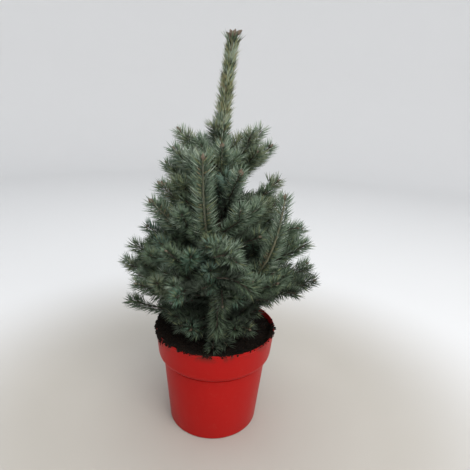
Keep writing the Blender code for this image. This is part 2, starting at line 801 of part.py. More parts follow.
def make_masses(crown, places, trunk_cutter, material):
    """Join each mass into one solid, and cut the stems that start at the trunk."""
    cut = collect([trunk_cutter], "trunk cutter")
    for name, bough in BOUGHS.items():
        pieces = mass_objects(name, bough, crown[name], places, material)
        if len(pieces) > 1:
            rest = collect(pieces[1:], f"{name} shoots")
            apply_boolean(pieces[0], rest, "UNION")
            discard(rest)
        if not has_limb(bough):
            apply_boolean(pieces[0], cut, "DIFFERENCE")
    return cut


def make_limbs(cut, material):
    """Build the bare limbs, and cut each one's foot to the trunk."""
    for name, bough in BOUGHS.items():
        if has_limb(bough):
            apply_boolean(make_limb(name, bough, material), cut, "DIFFERENCE")


def main():
    clear_scene()
    red_plastic = make_material("red_plastic", (0.62, 0.030, 0.022), 0.38)
    potting_soil = make_material("potting_soil", (0.022, 0.015, 0.011), 0.95)
    bark = make_material("bark", (0.20, 0.125, 0.070), 0.85)
    needles = make_material("needles", (0.10, 0.17, 0.15), 0.60)
    bud_scales = make_material("bud_scales", (0.30, 0.16, 0.070), 0.65)
    make_pot(red_plastic)
    make_soil(potting_soil)
    make_trunk(bark)
    crown, places = grow_crown()
    make_leader_needles(places, needles)
    make_leader_buds(bud_scales)
    cut = make_masses(crown, places, make_trunk_cutter(bark), needles)
    make_limbs(cut, bark)
    discard(cut)


main()
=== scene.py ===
# %% [markdown]
# A young blue spruce in a red nursery pot
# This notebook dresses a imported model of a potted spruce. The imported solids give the
# pot, the soil, the trunk, the boughs and one plain solid for each mass of needles.
# Every step below replaces some of them with a finer piece in the same place.

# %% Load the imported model
import math
import random
from collections import namedtuple

import bmesh
import bpy
import numpy as np
from mathutils import Matrix, Vector, noise
from mathutils.kdtree import KDTree


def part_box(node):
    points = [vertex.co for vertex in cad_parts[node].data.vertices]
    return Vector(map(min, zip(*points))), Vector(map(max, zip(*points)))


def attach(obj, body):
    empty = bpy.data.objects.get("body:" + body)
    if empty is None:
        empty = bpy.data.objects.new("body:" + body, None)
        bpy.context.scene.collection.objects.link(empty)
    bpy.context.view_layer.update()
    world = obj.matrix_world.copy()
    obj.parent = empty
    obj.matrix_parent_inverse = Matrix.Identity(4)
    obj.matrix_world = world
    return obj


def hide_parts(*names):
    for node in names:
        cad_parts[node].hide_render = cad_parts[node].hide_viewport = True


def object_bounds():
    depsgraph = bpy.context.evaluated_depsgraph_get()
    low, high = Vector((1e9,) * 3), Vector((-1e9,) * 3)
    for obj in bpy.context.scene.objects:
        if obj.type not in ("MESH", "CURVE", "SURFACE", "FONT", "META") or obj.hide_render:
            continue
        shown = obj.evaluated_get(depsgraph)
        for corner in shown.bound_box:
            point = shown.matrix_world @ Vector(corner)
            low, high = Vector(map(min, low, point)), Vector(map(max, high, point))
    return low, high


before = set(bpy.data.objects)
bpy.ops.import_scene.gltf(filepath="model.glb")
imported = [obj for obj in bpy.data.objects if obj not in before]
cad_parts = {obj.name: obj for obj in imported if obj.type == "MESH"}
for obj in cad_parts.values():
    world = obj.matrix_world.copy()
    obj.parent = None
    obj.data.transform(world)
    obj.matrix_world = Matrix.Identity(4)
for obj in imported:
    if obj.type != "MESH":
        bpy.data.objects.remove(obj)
CAD_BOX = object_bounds()
UP = Vector((0.0, 0.0, 1.0))


def new_object(name, data):
    """Make an object and link it into the scene."""
    thing = bpy.data.objects.new(name, data)
    bpy.context.scene.collection.objects.link(thing)
    return thing


print("nodes:", len(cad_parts), "box:", CAD_BOX)

# %% [markdown]
# The camera
# The photograph was taken from just above the crown, level with the leader, with the
# camera tipped down and turned and rolled a few degrees. The three angles and the
# distance were fitted to the round rim of the pot and its foot. A short lens stands
# close to the plant, which is why the pot narrows so much to its foot.

# %% Camera
PHOTO_SIDE = 470
FOCAL_PIXELS = 420
AXIS_PIXEL = (237, 231)
SENSOR = 36.0
CLIP_START = 0.01
CAMERA_PLACE = Vector((0.0, -0.6707, 0.5626))
CAMERA_PITCH = math.radians(17.13)
CAMERA_YAW = math.radians(2.63)
CAMERA_ROLL = math.radians(2.61)


def camera_matrix():
    """Turn the three angles into the camera's place and axes."""
    flat = Vector((math.sin(CAMERA_YAW), math.cos(CAMERA_YAW), 0.0))
    ahead = flat * math.cos(CAMERA_PITCH) - UP * math.sin(CAMERA_PITCH)
    right = Vector((math.cos(CAMERA_YAW), -math.sin(CAMERA_YAW), 0.0))
    above = right.cross(ahead)
    rolled_right = right * math.cos(CAMERA_ROLL) + above * math.sin(CAMERA_ROLL)
    rolled_above = above * math.cos(CAMERA_ROLL) - right * math.sin(CAMERA_ROLL)
    turned = Matrix((rolled_right, rolled_above, -ahead)).transposed()
    return Matrix.Translation(CAMERA_PLACE) @ turned.to_4x4()


camera_data = bpy.data.cameras.new("camera")
camera_data.sensor_width = SENSOR
camera_data.lens = FOCAL_PIXELS / PHOTO_SIDE * SENSOR
camera_data.shift_x = (PHOTO_SIDE / 2 - AXIS_PIXEL[0]) / PHOTO_SIDE
camera_data.shift_y = (AXIS_PIXEL[1] - PHOTO_SIDE / 2) / PHOTO_SIDE
camera_data.clip_start = CLIP_START
camera = new_object("camera", camera_data)
camera.matrix_world = camera_matrix()
bpy.context.scene.camera = camera
print("lens %.1f mm" % camera_data.lens)

# %% [markdown]
# Shader maths
# Most finishes below are sums and products of noises. A small class wraps a shader
# socket, so that such a sum can be written as plain Python. Another wraps a material
# and adds any node from its type, its settings and the values of its sockets.

# %% Shader helpers


class Value:
    """A shader socket that can stand in a sum or a product."""

    def __init__(self, finish, socket):
        self.finish = finish
        self.socket = socket

    def maths(self, operation, a, b):
        return self.finish.node("ShaderNodeMath", {"operation": operation}, {0: a, 1: b})

    def __add__(self, other):
        return self.maths("ADD", self, other)

    def __radd__(self, other):
        return self.maths("ADD", other, self)

    def __mul__(self, other):
        return self.maths("MULTIPLY", self, other)

    def __rmul__(self, other):
        return self.maths("MULTIPLY", other, self)


class Finish:
    """A Principled material, and the tools that write its nodes."""

    def __init__(self, name, color, roughness):
        self.material = bpy.data.materials.new(name)
        self.material.use_nodes = True
        self.tree = self.material.node_tree
        self.shader = self.tree.nodes["Principled BSDF"]
        self.set("Base Color", (*color, 1.0))
        self.set("Roughness", roughness)

    def set(self, socket, value):
        """Give a socket of the shader a constant or a link."""
        self.give(self.shader.inputs[socket], value)

    def give(self, socket, value):
        if isinstance(value, Value):
            self.tree.links.new(value.socket, socket)
        else:
            socket.default_value = value

    def node(self, kind, settings=None, values=None, out=0):
        """Add a node: its settings first, then its sockets. Return one output."""
        node = self.tree.nodes.new(kind)
        for key, setting in (settings or {}).items():
            if key == "stops":
                self.set_stops(node.color_ramp, setting)
            else:
                setattr(node, key, setting)
        for key, value in (values or {}).items():
            self.give(node.inputs[key], value)
        return Value(self, node.outputs[out])

    def set_stops(self, ramp, stops):
        """Set the places and greys of a colour ramp."""
        while len(ramp.elements) < len(stops):
            ramp.elements.new(0.5)
        for element, (place, shade) in zip(ramp.elements, stops):
            element.position = place
            element.color = (shade, shade, shade, 1.0)

    def place(self):
        return self.node("ShaderNodeTexCoord", out="Object")

    def noise(self, scale, detail=3.0, roughness=0.5, stretch=None):
        """Return noise from 0 to 1, at a scale given for one metre."""
        place = self.place()
        if stretch:
            place = self.node("ShaderNodeMapping", None, {"Vector": place, "Scale": stretch})
        return self.node(
            "ShaderNodeTexNoise", None,
            {"Vector": place, "Scale": scale, "Detail": detail, "Roughness": roughness})

    def ramp(self, value, *stops):
        return self.node("ShaderNodeValToRGB", {"stops": stops}, {0: value})

    def rise(self, value, low, high, kind="LINEAR"):
        """Return 0 up to low, 1 from high on, and what lies between on the way."""
        return self.node(
            "ShaderNodeMapRange", {"interpolation_type": kind}, {0: value, 1: low, 2: high})

    def along(self, axis):
        """Return the place along one axis, 0 for X and 2 for Z."""
        return self.node("ShaderNodeSeparateXYZ", None, {0: self.place()}, out=axis)

    def mix(self, share, a, b):
        """Blend two colours."""
        a = a if isinstance(a, Value) else (*a, 1.0)
        b = b if isinstance(b, Value) else (*b, 1.0)
        return self.node(
            "ShaderNodeMix", {"data_type": "RGBA"}, {"Factor": share, 6: a, 7: b}, out=2)

    def bump(self, height, distance, strength=1.0):
        self.set("Normal", self.node(
            "ShaderNodeBump", None,
            {"Height": height, "Distance": distance, "Strength": strength}))


print("helpers ready")

# %% [markdown]
# From a bmesh to a piece
# Each piece ends the same way: its bmesh becomes a mesh at the origin, it gets its
# finish, it rides on the one body, and the imported nodes that it stands for are hidden.
# What is round begins as a line that is spun round the axis of the pot.

# %% Piece helpers
MERGE_DISTANCE = 1e-6


def add_piece(name, mesh, finishes, replaced):
    """Link a finished mesh into the scene, and hide the imported nodes that it stands for."""
    for finish in finishes:
        mesh.materials.append(finish.material)
    piece = new_object(name, mesh)
    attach(piece, "root")
    if replaced:
        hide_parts(*replaced)
    mesh.calc_loop_triangles()
    print("%s: %d triangles" % (name, len(mesh.loop_triangles)))


def spin_line(points, steps):
    """Spin a line of points once round the axis of the pot, and return its bmesh."""
    bm = bmesh.new()
    line = [bm.verts.new(point) for point in points]
    edges = [bm.edges.new(pair) for pair in zip(line, line[1:])]
    bmesh.ops.spin(
        bm, geom=line + edges, cent=(0.0, 0.0, 0.0), axis=UP,
        angle=math.tau, steps=steps, use_merge=True)
    bmesh.ops.remove_doubles(bm, verts=bm.verts, dist=MERGE_DISTANCE)
    return bm


def mesh_from_bmesh(bm, name, sharp_angle=None):
    """Close a bmesh into a smooth mesh whose normals face outwards."""
    bmesh.ops.remove_doubles(bm, verts=bm.verts, dist=MERGE_DISTANCE)
    bmesh.ops.recalc_face_normals(bm, faces=bm.faces)
    mesh = bpy.data.meshes.new(name)
    bm.to_mesh(mesh)
    bm.free()
    mesh.shade_smooth()
    if sharp_angle:
        mesh.set_sharp_from_angle(angle=sharp_angle)
    return mesh


# %% [markdown]
# Floor and light
# The plant stands in the middle of a wide bowl: a plain pale floor that curves up all
# round into a plain backdrop, so that every side is seen against the same clean ground.
# Near the pot the floor is a warm grey, and further out it pales to white.

# %% Floor and backdrop
FLOOR_REACH = 2.6
SWEEP_RADIUS = 0.9
BACKDROP_HEIGHT = 3.2
SWEEP_STEPS = 16
BOWL_SIDES = 96
GREY_FLOOR_TO = 0.30
WHITE_FLOOR_FROM = 0.75


def make_stage():
    """Spin the section of a floor that curves up into a backdrop round the plant's axis."""
    section = [Vector((0.0, 0.0, 0.0)), Vector((FLOOR_REACH, 0.0, 0.0))]
    for k in range(1, SWEEP_STEPS + 1):
        turn = math.pi / 2 * k / SWEEP_STEPS
        section.append(Vector((
            FLOOR_REACH + SWEEP_RADIUS * math.sin(turn), 0.0,
            SWEEP_RADIUS * (1 - math.cos(turn)))))
    section.append(Vector((FLOOR_REACH + SWEEP_RADIUS, 0.0, BACKDROP_HEIGHT)))
    bm = spin_line(section, BOWL_SIDES)
    bmesh.ops.recalc_face_normals(bm, faces=bm.faces)
    floor_face = min(bm.faces, key=lambda face: face.calc_center_median().length)
    if floor_face.normal.z < 0:
        bmesh.ops.reverse_faces(bm, faces=bm.faces)
    mesh = bpy.data.meshes.new("floor")
    bm.to_mesh(mesh)
    bm.free()
    mesh.shade_smooth()
    floor = new_object("floor", mesh)
    paper = Finish("pale_floor", (0.60, 0.57, 0.52), 0.8)
    flat = paper.node(
        "ShaderNodeVectorMath", {"operation": "MULTIPLY"}, {0: paper.place(), 1: (1.0, 1.0, 0.0)})
    reach = paper.node("ShaderNodeVectorMath", {"operation": "LENGTH"}, {0: flat}, out=1)
    far = paper.rise(reach, GREY_FLOOR_TO, WHITE_FLOOR_FROM, "SMOOTHSTEP")
    ground = paper.mix(paper.noise(5.0, 2.0), (0.425, 0.400, 0.360), (0.465, 0.440, 0.400))
    paper.set("Base Color", paper.mix(far, ground, (0.74, 0.74, 0.745)))
    mesh.materials.append(paper.material)


make_stage()

# %% Lights


def add_light(name, place, target, size, power, color):
    """Hang a square soft light at a place, facing a target."""
    data = bpy.data.lights.new(name, "AREA")
    data.shape = "SQUARE"
    data.size = size
    data.energy = power
    data.color = color
    light = new_object(name, data)
    light.location = place
    light.rotation_euler = (Vector(target) - Vector(place)).to_track_quat("-Z", "Y").to_euler()


add_light("key", (0.9, -1.9, 2.4), (0.0, 0.0, 0.35), 2.4, 80.0, (1.0, 0.98, 0.95))
add_light("top", (0.1, 0.3, 3.0), (0.0, 0.2, 0.0), 2.2, 40.0, (0.96, 0.98, 1.0))
world = bpy.data.worlds.new("studio")
world.use_nodes = True
world.node_tree.nodes["Background"].inputs["Color"].default_value = (0.90, 0.95, 1.0, 1.0)
world.node_tree.nodes["Background"].inputs["Strength"].default_value = 0.42
bpy.context.scene.world = world
bpy.context.scene.view_settings.view_transform = "Standard"
print("lights:", [o.name for o in bpy.data.objects if o.type == "LIGHT"])

# %% [markdown]
# The pot
# It is a moulded nursery pot of one red plastic: a flat foot with a rounded edge, a
# tapered body, a shoulder that steps out under a tall collar, and a thin rounded rim.
# It is a turned shape, so its outline is drawn once and spun round the axis. The
# corners of the outline are given radii, and a helper turns each into a short arc. The
# drain holes are a guess, because the underside can't be seen. They end inside the foot.

# %% Pot dimensions
POT_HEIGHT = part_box("pot")[1][2]
RIM_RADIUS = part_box("pot")[1][0]
FOOT_RADIUS = 0.0793
BODY_TOP_RADIUS = 0.0914
BODY_TOP = 0.127
COLLAR_BOTTOM_RADIUS = 0.100
COLLAR_BOTTOM = 0.137
COLLAR_TAPER = (RIM_RADIUS - COLLAR_BOTTOM_RADIUS) / (POT_HEIGHT - COLLAR_BOTTOM)
POT_WALL = 0.0018
POT_SIDES = 144
GROOVE_HEIGHT = 0.0020
GROOVE_DEPTH = 0.0013
POT_SHARP = math.radians(40)
DRAIN_HOLES = 6
DRAIN_SIDES = 20
DRAIN_RADIUS = 0.005
DRAIN_CIRCLE = 0.056
print("pot %.0f mm high, %.0f mm across" % (POT_HEIGHT * 1000, RIM_RADIUS * 2000))

# %% Pot outline


def round_corners(corners, steps=5):
    """Replace each (radius, height, rounding) corner of an outline with an arc."""
    points = [Vector(corners[0][:2])]
    for before, here, after in zip(corners, corners[1:], corners[2:]):
        corner = Vector(here[:2])
        into = (Vector(before[:2]) - corner).normalized()
        away = (Vector(after[:2]) - corner).normalized()
        if here[2] == 0.0:
            points.append(corner)
            continue
        half = math.acos(max(-1.0, min(1.0, into.dot(away)))) / 2
        reach = here[2] / math.tan(half)
        centre = corner + (into + away).normalized() * here[2] / math.sin(half)
        start = (corner + into * reach - centre).normalized()
        end = (corner + away * reach - centre).normalized()
        for k in range(steps + 1):
            points.append(centre + start.slerp(end, k / steps) * here[2])
    points.append(Vector(corners[-1][:2]))
    return points


POT_OUTLINE = (
    (0.0, 0.0, 0.0),
    (FOOT_RADIUS, 0.0, 0.0030),
    (BODY_TOP_RADIUS, BODY_TOP - GROOVE_HEIGHT, 0.0003),
    (BODY_TOP_RADIUS - GROOVE_DEPTH, BODY_TOP - GROOVE_HEIGHT * 0.8, 0.0002),
    (BODY_TOP_RADIUS - GROOVE_DEPTH, BODY_TOP, 0.0002),
    (BODY_TOP_RADIUS + 0.0035, BODY_TOP + 0.0022, 0.0010),
    (COLLAR_BOTTOM_RADIUS - 0.0010, COLLAR_BOTTOM - 0.0035, 0.0025),
    (COLLAR_BOTTOM_RADIUS + 0.0004, COLLAR_BOTTOM + 0.0010, 0.0020),
    (RIM_RADIUS - 0.0006, POT_HEIGHT - 0.0045, 0.0004),
    (RIM_RADIUS, POT_HEIGHT - 0.0038, 0.0004),
    (RIM_RADIUS, POT_HEIGHT, 0.0007),
    (RIM_RADIUS - POT_WALL, POT_HEIGHT, 0.0007),
    (COLLAR_BOTTOM_RADIUS - POT_WALL, COLLAR_BOTTOM, 0.0020),
    (BODY_TOP_RADIUS - POT_WALL, BODY_TOP + 0.0015, 0.0015),
    (FOOT_RADIUS - POT_WALL, 0.0048, 0.0020),
    (0.0, POT_WALL, 0.0),
)
print("outline of", len(round_corners(POT_OUTLINE)), "points")

# %% Pot mesh


def drain_cutters():
    """Return one mesh of the pegs that cut the drain holes."""
    bm = bmesh.new()
    for k in range(DRAIN_HOLES):
        turn = math.tau * (k + 0.5) / DRAIN_HOLES
        peg = bmesh.ops.create_cone(
            bm, cap_ends=True, segments=DRAIN_SIDES, radius1=DRAIN_RADIUS,
            radius2=DRAIN_RADIUS, depth=4 * POT_WALL)
        bmesh.ops.translate(
            bm, verts=peg["verts"],
            vec=(DRAIN_CIRCLE * math.cos(turn), DRAIN_CIRCLE * math.sin(turn), 0.0))
    return mesh_from_bmesh(bm, "drain_pegs")


def cut(mesh, cutter_mesh):
    """Cut one mesh out of another with a Boolean modifier, and apply it."""
    body = new_object("cut_body", mesh)
    cutter = new_object("cutter", cutter_mesh)
    modifier = body.modifiers.new("cut", "BOOLEAN")
    modifier.operation = "DIFFERENCE"
    modifier.object = cutter
    bpy.context.view_layer.update()
    evaluated = body.evaluated_get(bpy.context.evaluated_depsgraph_get())
    result = bpy.data.meshes.new_from_object(evaluated)
    for helper in (body, cutter):
        bpy.data.objects.remove(helper, do_unlink=True)
    return result


def make_pot_mesh():
    """Spin the outline into a shell, and sink the drain holes into its foot."""
    outline = [(point.x, 0.0, point.y) for point in round_corners(POT_OUTLINE)]
    shell = mesh_from_bmesh(spin_line(outline, POT_SIDES), "pot_shell", POT_SHARP)
    drilled = cut(shell, drain_cutters())
    drilled.name = "pot_shell"
    drilled.set_sharp_from_angle(angle=POT_SHARP)
    return drilled


pot_mesh = make_pot_mesh()

# %% Red plastic
SOILED_UNDER_RIM = 0.016
LEFT_STREAKS_HEIGHT = 0.030
LEFT_STREAKS_FROM = -0.088
LEFT_STREAKS_TO = -0.095


def red_plastic():
    """Saturated red polypropylene: satin, with faint flow marks, dust, soil smudges under the
    rim and dark brown streaks high on the left of the collar.
    """
    red = Finish("red_plastic_finish", (0.42, 0.010, 0.008), 0.36)
    cloud = red.noise(9.0, 3.0)
    drawn = red.noise(60.0, 4.0, 0.6, (1.0, 1.0, 0.12))
    dust = red.ramp(red.noise(140.0, 5.0, 0.7), (0.55, 0.0), (0.80, 1.0))
    color = red.mix(cloud, (0.335, 0.0065, 0.0055), (0.430, 0.0105, 0.0085))
    color = red.mix(dust * 0.10, color, (0.40, 0.16, 0.11))
    height = red.along(2)
    near_rim = red.rise(height, POT_HEIGHT - SOILED_UNDER_RIM, POT_HEIGHT)
    patches = red.ramp(red.noise(55.0, 4.0, 0.65), (0.50, 0.0), (0.62, 1.0))
    specks = red.ramp(red.noise(120.0, 3.0, 0.6), (0.735, 0.0), (0.755, 1.0))
    # The top few centimetres of the collar on the left side are darkened in dark brown streaks.
    left = red.rise(red.along(0), LEFT_STREAKS_FROM, LEFT_STREAKS_TO)
    upper = red.rise(height, POT_HEIGHT - LEFT_STREAKS_HEIGHT, POT_HEIGHT)
    streaks = red.ramp(red.noise(75.0, 4.0, 0.7, (1.0, 1.0, 0.35)), (0.38, 0.0), (0.55, 1.0))
    dark_marks = patches * near_rim * 0.85 + specks * 0.7 + left * upper * streaks
    red.set("Base Color", red.mix(dark_marks, color, (0.035, 0.020, 0.014)))
    red.set("Roughness", 0.30 + 0.16 * drawn + 0.22 * dust)
    grain = red.noise(900.0, 2.0)
    red.bump(grain * 0.4 + drawn * 0.6, 0.0002)
    red.set("Specular IOR Level", 0.10)
    return red


add_piece("pot_shell", pot_mesh, [red_plastic()], ["pot"])

# %% [markdown]
# The soil
# Dark moist peat fills the pot to a finger's breadth under the rim at the back, and
# is heaped to the rim at the front left, where crumbs spill over the edge. A turned
# disc gives the ground, noise pushes it up and down, and thousands of small crumbs
# lie on it, on the rim at the front, the left and a little at the right, and on the
# collar under the rim at the left. A crumb is a dented icosphere of 20 faces.

# %% Soil ground
SOIL_TOP = 0.173
SOIL_HEAP = 0.0080
SOIL_HEAP_TURN = math.radians(210)
SOIL_FLAT = 0.018
SOIL_ROUGH = 0.0022
SOIL_GAP = 0.0004
SOIL_BOTTOM = COLLAR_BOTTOM + 0.002
SOIL_RINGS = 56
SOIL_SIDES = 160
AT_THE_WALL = 0.001
LUMPS_PER_METRE = 70
GRIT_PER_METRE = 190
GRIT_SHARE = 0.5
ROUGH_AT_TRUNK = 0.3
ROUGHENS = 3


def soil_height(x, y):
    """Return the level of the soil, with its heap and its lumps."""
    flat = math.hypot(x, y)
    share = max(0.0, (flat - SOIL_FLAT) / (RIM_RADIUS - SOIL_FLAT))
    heap = SOIL_HEAP * (0.5 + 0.5 * math.cos(math.atan2(y, x) - SOIL_HEAP_TURN)) * share
    lumps = noise.noise(Vector((x, y, 0.0)) * LUMPS_PER_METRE)
    grit = noise.noise(Vector((x, y, 3.0)) * GRIT_PER_METRE)
    rough = SOIL_ROUGH * (lumps + GRIT_SHARE * grit)
    return SOIL_TOP + heap + rough * min(1.0, ROUGH_AT_TRUNK + share * ROUGHENS)


def inner_wall(z):
    """Return how far out the soil reaches at a height in the collar."""
    return COLLAR_BOTTOM_RADIUS - POT_WALL + COLLAR_TAPER * (z - COLLAR_BOTTOM) - SOIL_GAP


def pull_to_wall(vert):
    """Move a point of the soil to the pot's inner wall at its height."""
    share = inner_wall(vert.co.z) / math.hypot(vert.co.x, vert.co.y)
    vert.co.x *= share
    vert.co.y *= share


def make_soil_mesh():
    """Spin a line into a disc of fine rings, and push its points to the soil's level."""
    reach = inner_wall(SOIL_TOP)
    line = [(reach * k / SOIL_RINGS, 0.0, 0.0) for k in range(SOIL_RINGS + 1)]
    bm = spin_line(line, SOIL_SIDES)
    for vert in bm.verts:
        vert.co.z = soil_height(vert.co.x, vert.co.y)
        if math.hypot(vert.co.x, vert.co.y) > reach - AT_THE_WALL:
            pull_to_wall(vert)
    rim = [edge for edge in bm.edges if len(edge.link_faces) == 1]
    skirt = bmesh.ops.extrude_edge_only(bm, edges=rim)
    low = [item for item in skirt["geom"] if isinstance(item, bmesh.types.BMVert)]
    for vert in low:
        vert.co.z = SOIL_BOTTOM
        pull_to_wall(vert)
    bmesh.ops.contextual_create(bm, geom=low)
    return mesh_from_bmesh(bm, "soil_ground")


# %% Soil finish


def moist_peat(name, dark, light):
    """Almost black peat with reddish fibres, matt, with fine grains."""
    peat = Finish(name, dark, 0.92)
    grains = peat.noise(420.0, 4.0, 0.65)
    patches = peat.noise(45.0, 3.0)
    flecks = peat.ramp(peat.noise(260.0, 2.0), (0.60, 0.0), (0.72, 1.0))
    ground = peat.mix(grains * patches * 1.6, dark, light)
    peat.set("Base Color", peat.mix(flecks * 0.35, ground, (0.060, 0.026, 0.012)))
    peat.set("Roughness", 0.80 + 0.18 * grains)
    peat.bump(grains, 0.0012)
    peat.set("Specular IOR Level", 0.15)
    return peat


peat_finish = moist_peat("moist_peat", (0.0025, 0.0017, 0.0013), (0.012, 0.008, 0.006))
add_piece("soil_ground", make_soil_mesh(), [peat_finish], ["soil"])

# %% [markdown]
# Joined copies
# Crumbs, needles and buds come in thousands. One object each would be far too many,
# so every kind is worked out with arrays and written as one mesh: a small pattern of
# points is multiplied by a turn, a size and a place for each copy.

# %% Mesh from arrays


def mesh_from_arrays(name, points, faces, tints=None, smooth=True):
    """Build one mesh of many copies, from each copy's points and the faces of one."""
    copies, per_copy = points.shape[:2]
    corners = np.concatenate([np.array(face) for face in faces])
    sizes = np.array([len(face) for face in faces])
    starts = np.arange(copies)[:, None] * per_copy
    loops = (starts + corners[None, :]).ravel()
    totals = np.tile(sizes, copies)
    mesh = bpy.data.meshes.new(name)
    mesh.vertices.add(copies * per_copy)
    mesh.vertices.foreach_set("co", points.reshape(-1).astype(np.float32))
    mesh.loops.add(len(loops))
    mesh.loops.foreach_set("vertex_index", loops.astype(np.int32))
    mesh.polygons.add(len(totals))
    mesh.polygons.foreach_set("loop_start", (np.cumsum(totals) - totals).astype(np.int32))
    if tints is not None:
        mesh.polygons.foreach_set("material_index", np.repeat(tints, len(faces)).astype(np.int32))
    mesh.update(calc_edges=True)
    if smooth:
        mesh.shade_smooth()
    return mesh


def random_turns(dice, count):
    """Return count random rotation matrices."""
    q = dice.normal(size=(count, 4))
    q /= np.linalg.norm(q, axis=1)[:, None]
    w, x, y, z = q.T
    return np.stack([
        np.stack([1 - 2 * (y * y + z * z), 2 * (x * y - z * w), 2 * (x * z + y * w)], -1),
        np.stack([2 * (x * y + z * w), 1 - 2 * (x * x + z * z), 2 * (y * z - x * w)], -1),
        np.stack([2 * (x * z - y * w), 2 * (y * z + x * w), 1 - 2 * (x * x + y * y)], -1),
    ], 1)


def small_ball():
    """Return the points and faces of an icosphere of 20 faces."""
    bm = bmesh.new()
    bmesh.ops.create_icosphere(bm, subdivisions=1, radius=1.0)
    points = np.array([vert.co[:] for vert in bm.verts])
    faces = [[vert.index for vert in face.verts] for face in bm.faces]
    bm.free()
    return points, faces


# %% Soil crumbs
CRUMB_SEED = 5
CRUMBS = 5600
CRUMBS_REACH = RIM_RADIUS - POT_WALL - 0.0006
CRUMBS_KEEP_IN = 0.985
CRUMB_SINKS = 0.25
RIM_CRUMBS = 3600
LEFT_SHARE = 0.35
RIGHT_SHARE = 0.12
SPILL_MIDDLE = math.radians(248)
SPILL_SPREAD = math.radians(30)
LEFT_MIDDLE = math.radians(190)
LEFT_SPREAD = math.radians(22)
RIGHT_MIDDLE = math.radians(342)
RIGHT_SPREAD = math.radians(9)
CLUMPS_PER_RADIAN = 9.0
CLUMP_MOVES = 0.0030
CLUMP_RISES = 0.0012
BARE_BELOW = -0.12
BARE_VARIES = 0.25
RIM_CRUMB_RISES = 0.5
HEAP_INSET = 0.0035
HEAP_SPREAD = 0.0025
OVER_EDGE = 0.0016
EDGE_DROP = 0.0035
INNER_INSET = 0.0020
INNER_WIDTH = 0.008
INNER_DROP = 0.004
STUCK_CRUMBS = 700
STUCK_MIDDLE = math.radians(199)
STUCK_SPREAD = math.radians(8)
STUCK_DROP = 0.006
STUCK_LOWEST = 0.020
STUCK_OUT = 0.2
GROUND_SIZES = (0.0006, 0.0021, 3)
RIM_SIZES = (0.0006, 0.0017, 2)
STUCK_SIZES = (0.0005, 0.0010, 2)
DENTS = 0.22
SECOND_WIDTH = (0.55, 0.45)
THIRD_WIDTH = (0.4, 0.5)


def crumb_sizes(dice, count, sizes):
    """Return the sizes of crumbs, many near the least and few near the largest."""
    least, more, rarity = sizes
    return least + more * dice.random(count) ** rarity


def crumbs_on_soil(dice):
    """Return centres and sizes of the crumbs that lie on the ground."""
    flat = CRUMBS_REACH * np.sqrt(dice.random(CRUMBS)) * CRUMBS_KEEP_IN
    turn = dice.random(CRUMBS) * math.tau
    size = crumb_sizes(dice, CRUMBS, GROUND_SIZES)
    x, y = flat * np.cos(turn), flat * np.sin(turn)
    level = np.array([soil_height(*spot) for spot in zip(x, y)]) + size * CRUMB_SINKS
    return np.column_stack([x, y, level]), size


def turns_on_rim(dice):
    """Return where round the rim its crumbs lie: most at the front, the rest at the sides."""
    side = dice.random(RIM_CRUMBS)
    turn = np.where(
        side < LEFT_SHARE, dice.normal(LEFT_MIDDLE, LEFT_SPREAD, RIM_CRUMBS),
        dice.normal(SPILL_MIDDLE, SPILL_SPREAD, RIM_CRUMBS))
    return np.where(
        side > 1 - RIGHT_SHARE, dice.normal(RIGHT_MIDDLE, RIGHT_SPREAD, RIM_CRUMBS), turn)


def crumbs_on_rim(dice):
    """Return centres and sizes of the crumbs on the rim, which lie in clumps."""
    turn = turns_on_rim(dice)
    clump = np.array([noise.noise(Vector((a * CLUMPS_PER_RADIAN, 0.0, 0.0))) for a in turn])
    flat = RIM_RADIUS - HEAP_INSET + dice.normal(0, HEAP_SPREAD, RIM_CRUMBS) + CLUMP_MOVES * clump
    keep = clump + dice.normal(0, BARE_VARIES, RIM_CRUMBS) > BARE_BELOW
    turn, flat, clump = turn[keep], np.minimum(flat[keep], RIM_RADIUS + OVER_EDGE), clump[keep]
    size = crumb_sizes(dice, len(turn), RIM_SIZES)
    inner = np.clip((RIM_RADIUS - INNER_INSET - flat) / INNER_WIDTH, 0, 1)
    outer = np.clip((flat - RIM_RADIUS) / OVER_EDGE, 0, 1)
    level = (POT_HEIGHT + size * RIM_CRUMB_RISES + CLUMP_RISES * np.clip(clump, 0, 1) * (1 - outer)
             - inner * INNER_DROP - outer * EDGE_DROP * dice.random(len(turn)))
    return np.column_stack([flat * np.cos(turn), flat * np.sin(turn), level]), size


def crumbs_on_collar(dice):
    """Return centres and sizes of the crumbs that stick to the collar under the left rim."""
    turn = dice.normal(STUCK_MIDDLE, STUCK_SPREAD, STUCK_CRUMBS)
    drop = np.minimum(np.abs(dice.normal(0, STUCK_DROP, STUCK_CRUMBS)), STUCK_LOWEST)
    size = crumb_sizes(dice, STUCK_CRUMBS, STUCK_SIZES)
    flat = RIM_RADIUS - COLLAR_TAPER * drop + size * STUCK_OUT
    return np.column_stack([flat * np.cos(turn), flat * np.sin(turn), POT_HEIGHT - drop]), size


def make_crumbs():
    """Dent, squash and turn one small ball for each crumb."""
    dice = np.random.default_rng(CRUMB_SEED)
    ball, faces = small_ball()
    heaps = [crumbs_on_soil(dice), crumbs_on_rim(dice), crumbs_on_collar(dice)]
    centres, sizes = (np.concatenate(parts) for parts in zip(*heaps))
    dents = 1 + dice.normal(0, DENTS, (len(sizes), len(ball), 1))
    widths = [np.ones_like(sizes)]
    for least, more in (SECOND_WIDTH, THIRD_WIDTH):
        widths.append(least + more * dice.random(len(sizes)))
    local = ball[None] * dents * np.stack(widths, -1)[:, None, :] * sizes[:, None, None]
    turned = np.einsum("nij,nkj->nki", random_turns(dice, len(sizes)), local)
    return mesh_from_arrays("soil_crumbs", turned + centres[:, None, :], faces, smooth=False)


crumb_finish = moist_peat("peat_crumbs", (0.0030, 0.0020, 0.0015), (0.017, 0.011, 0.007))
add_piece("soil_crumbs", make_crumbs(), [crumb_finish], [])

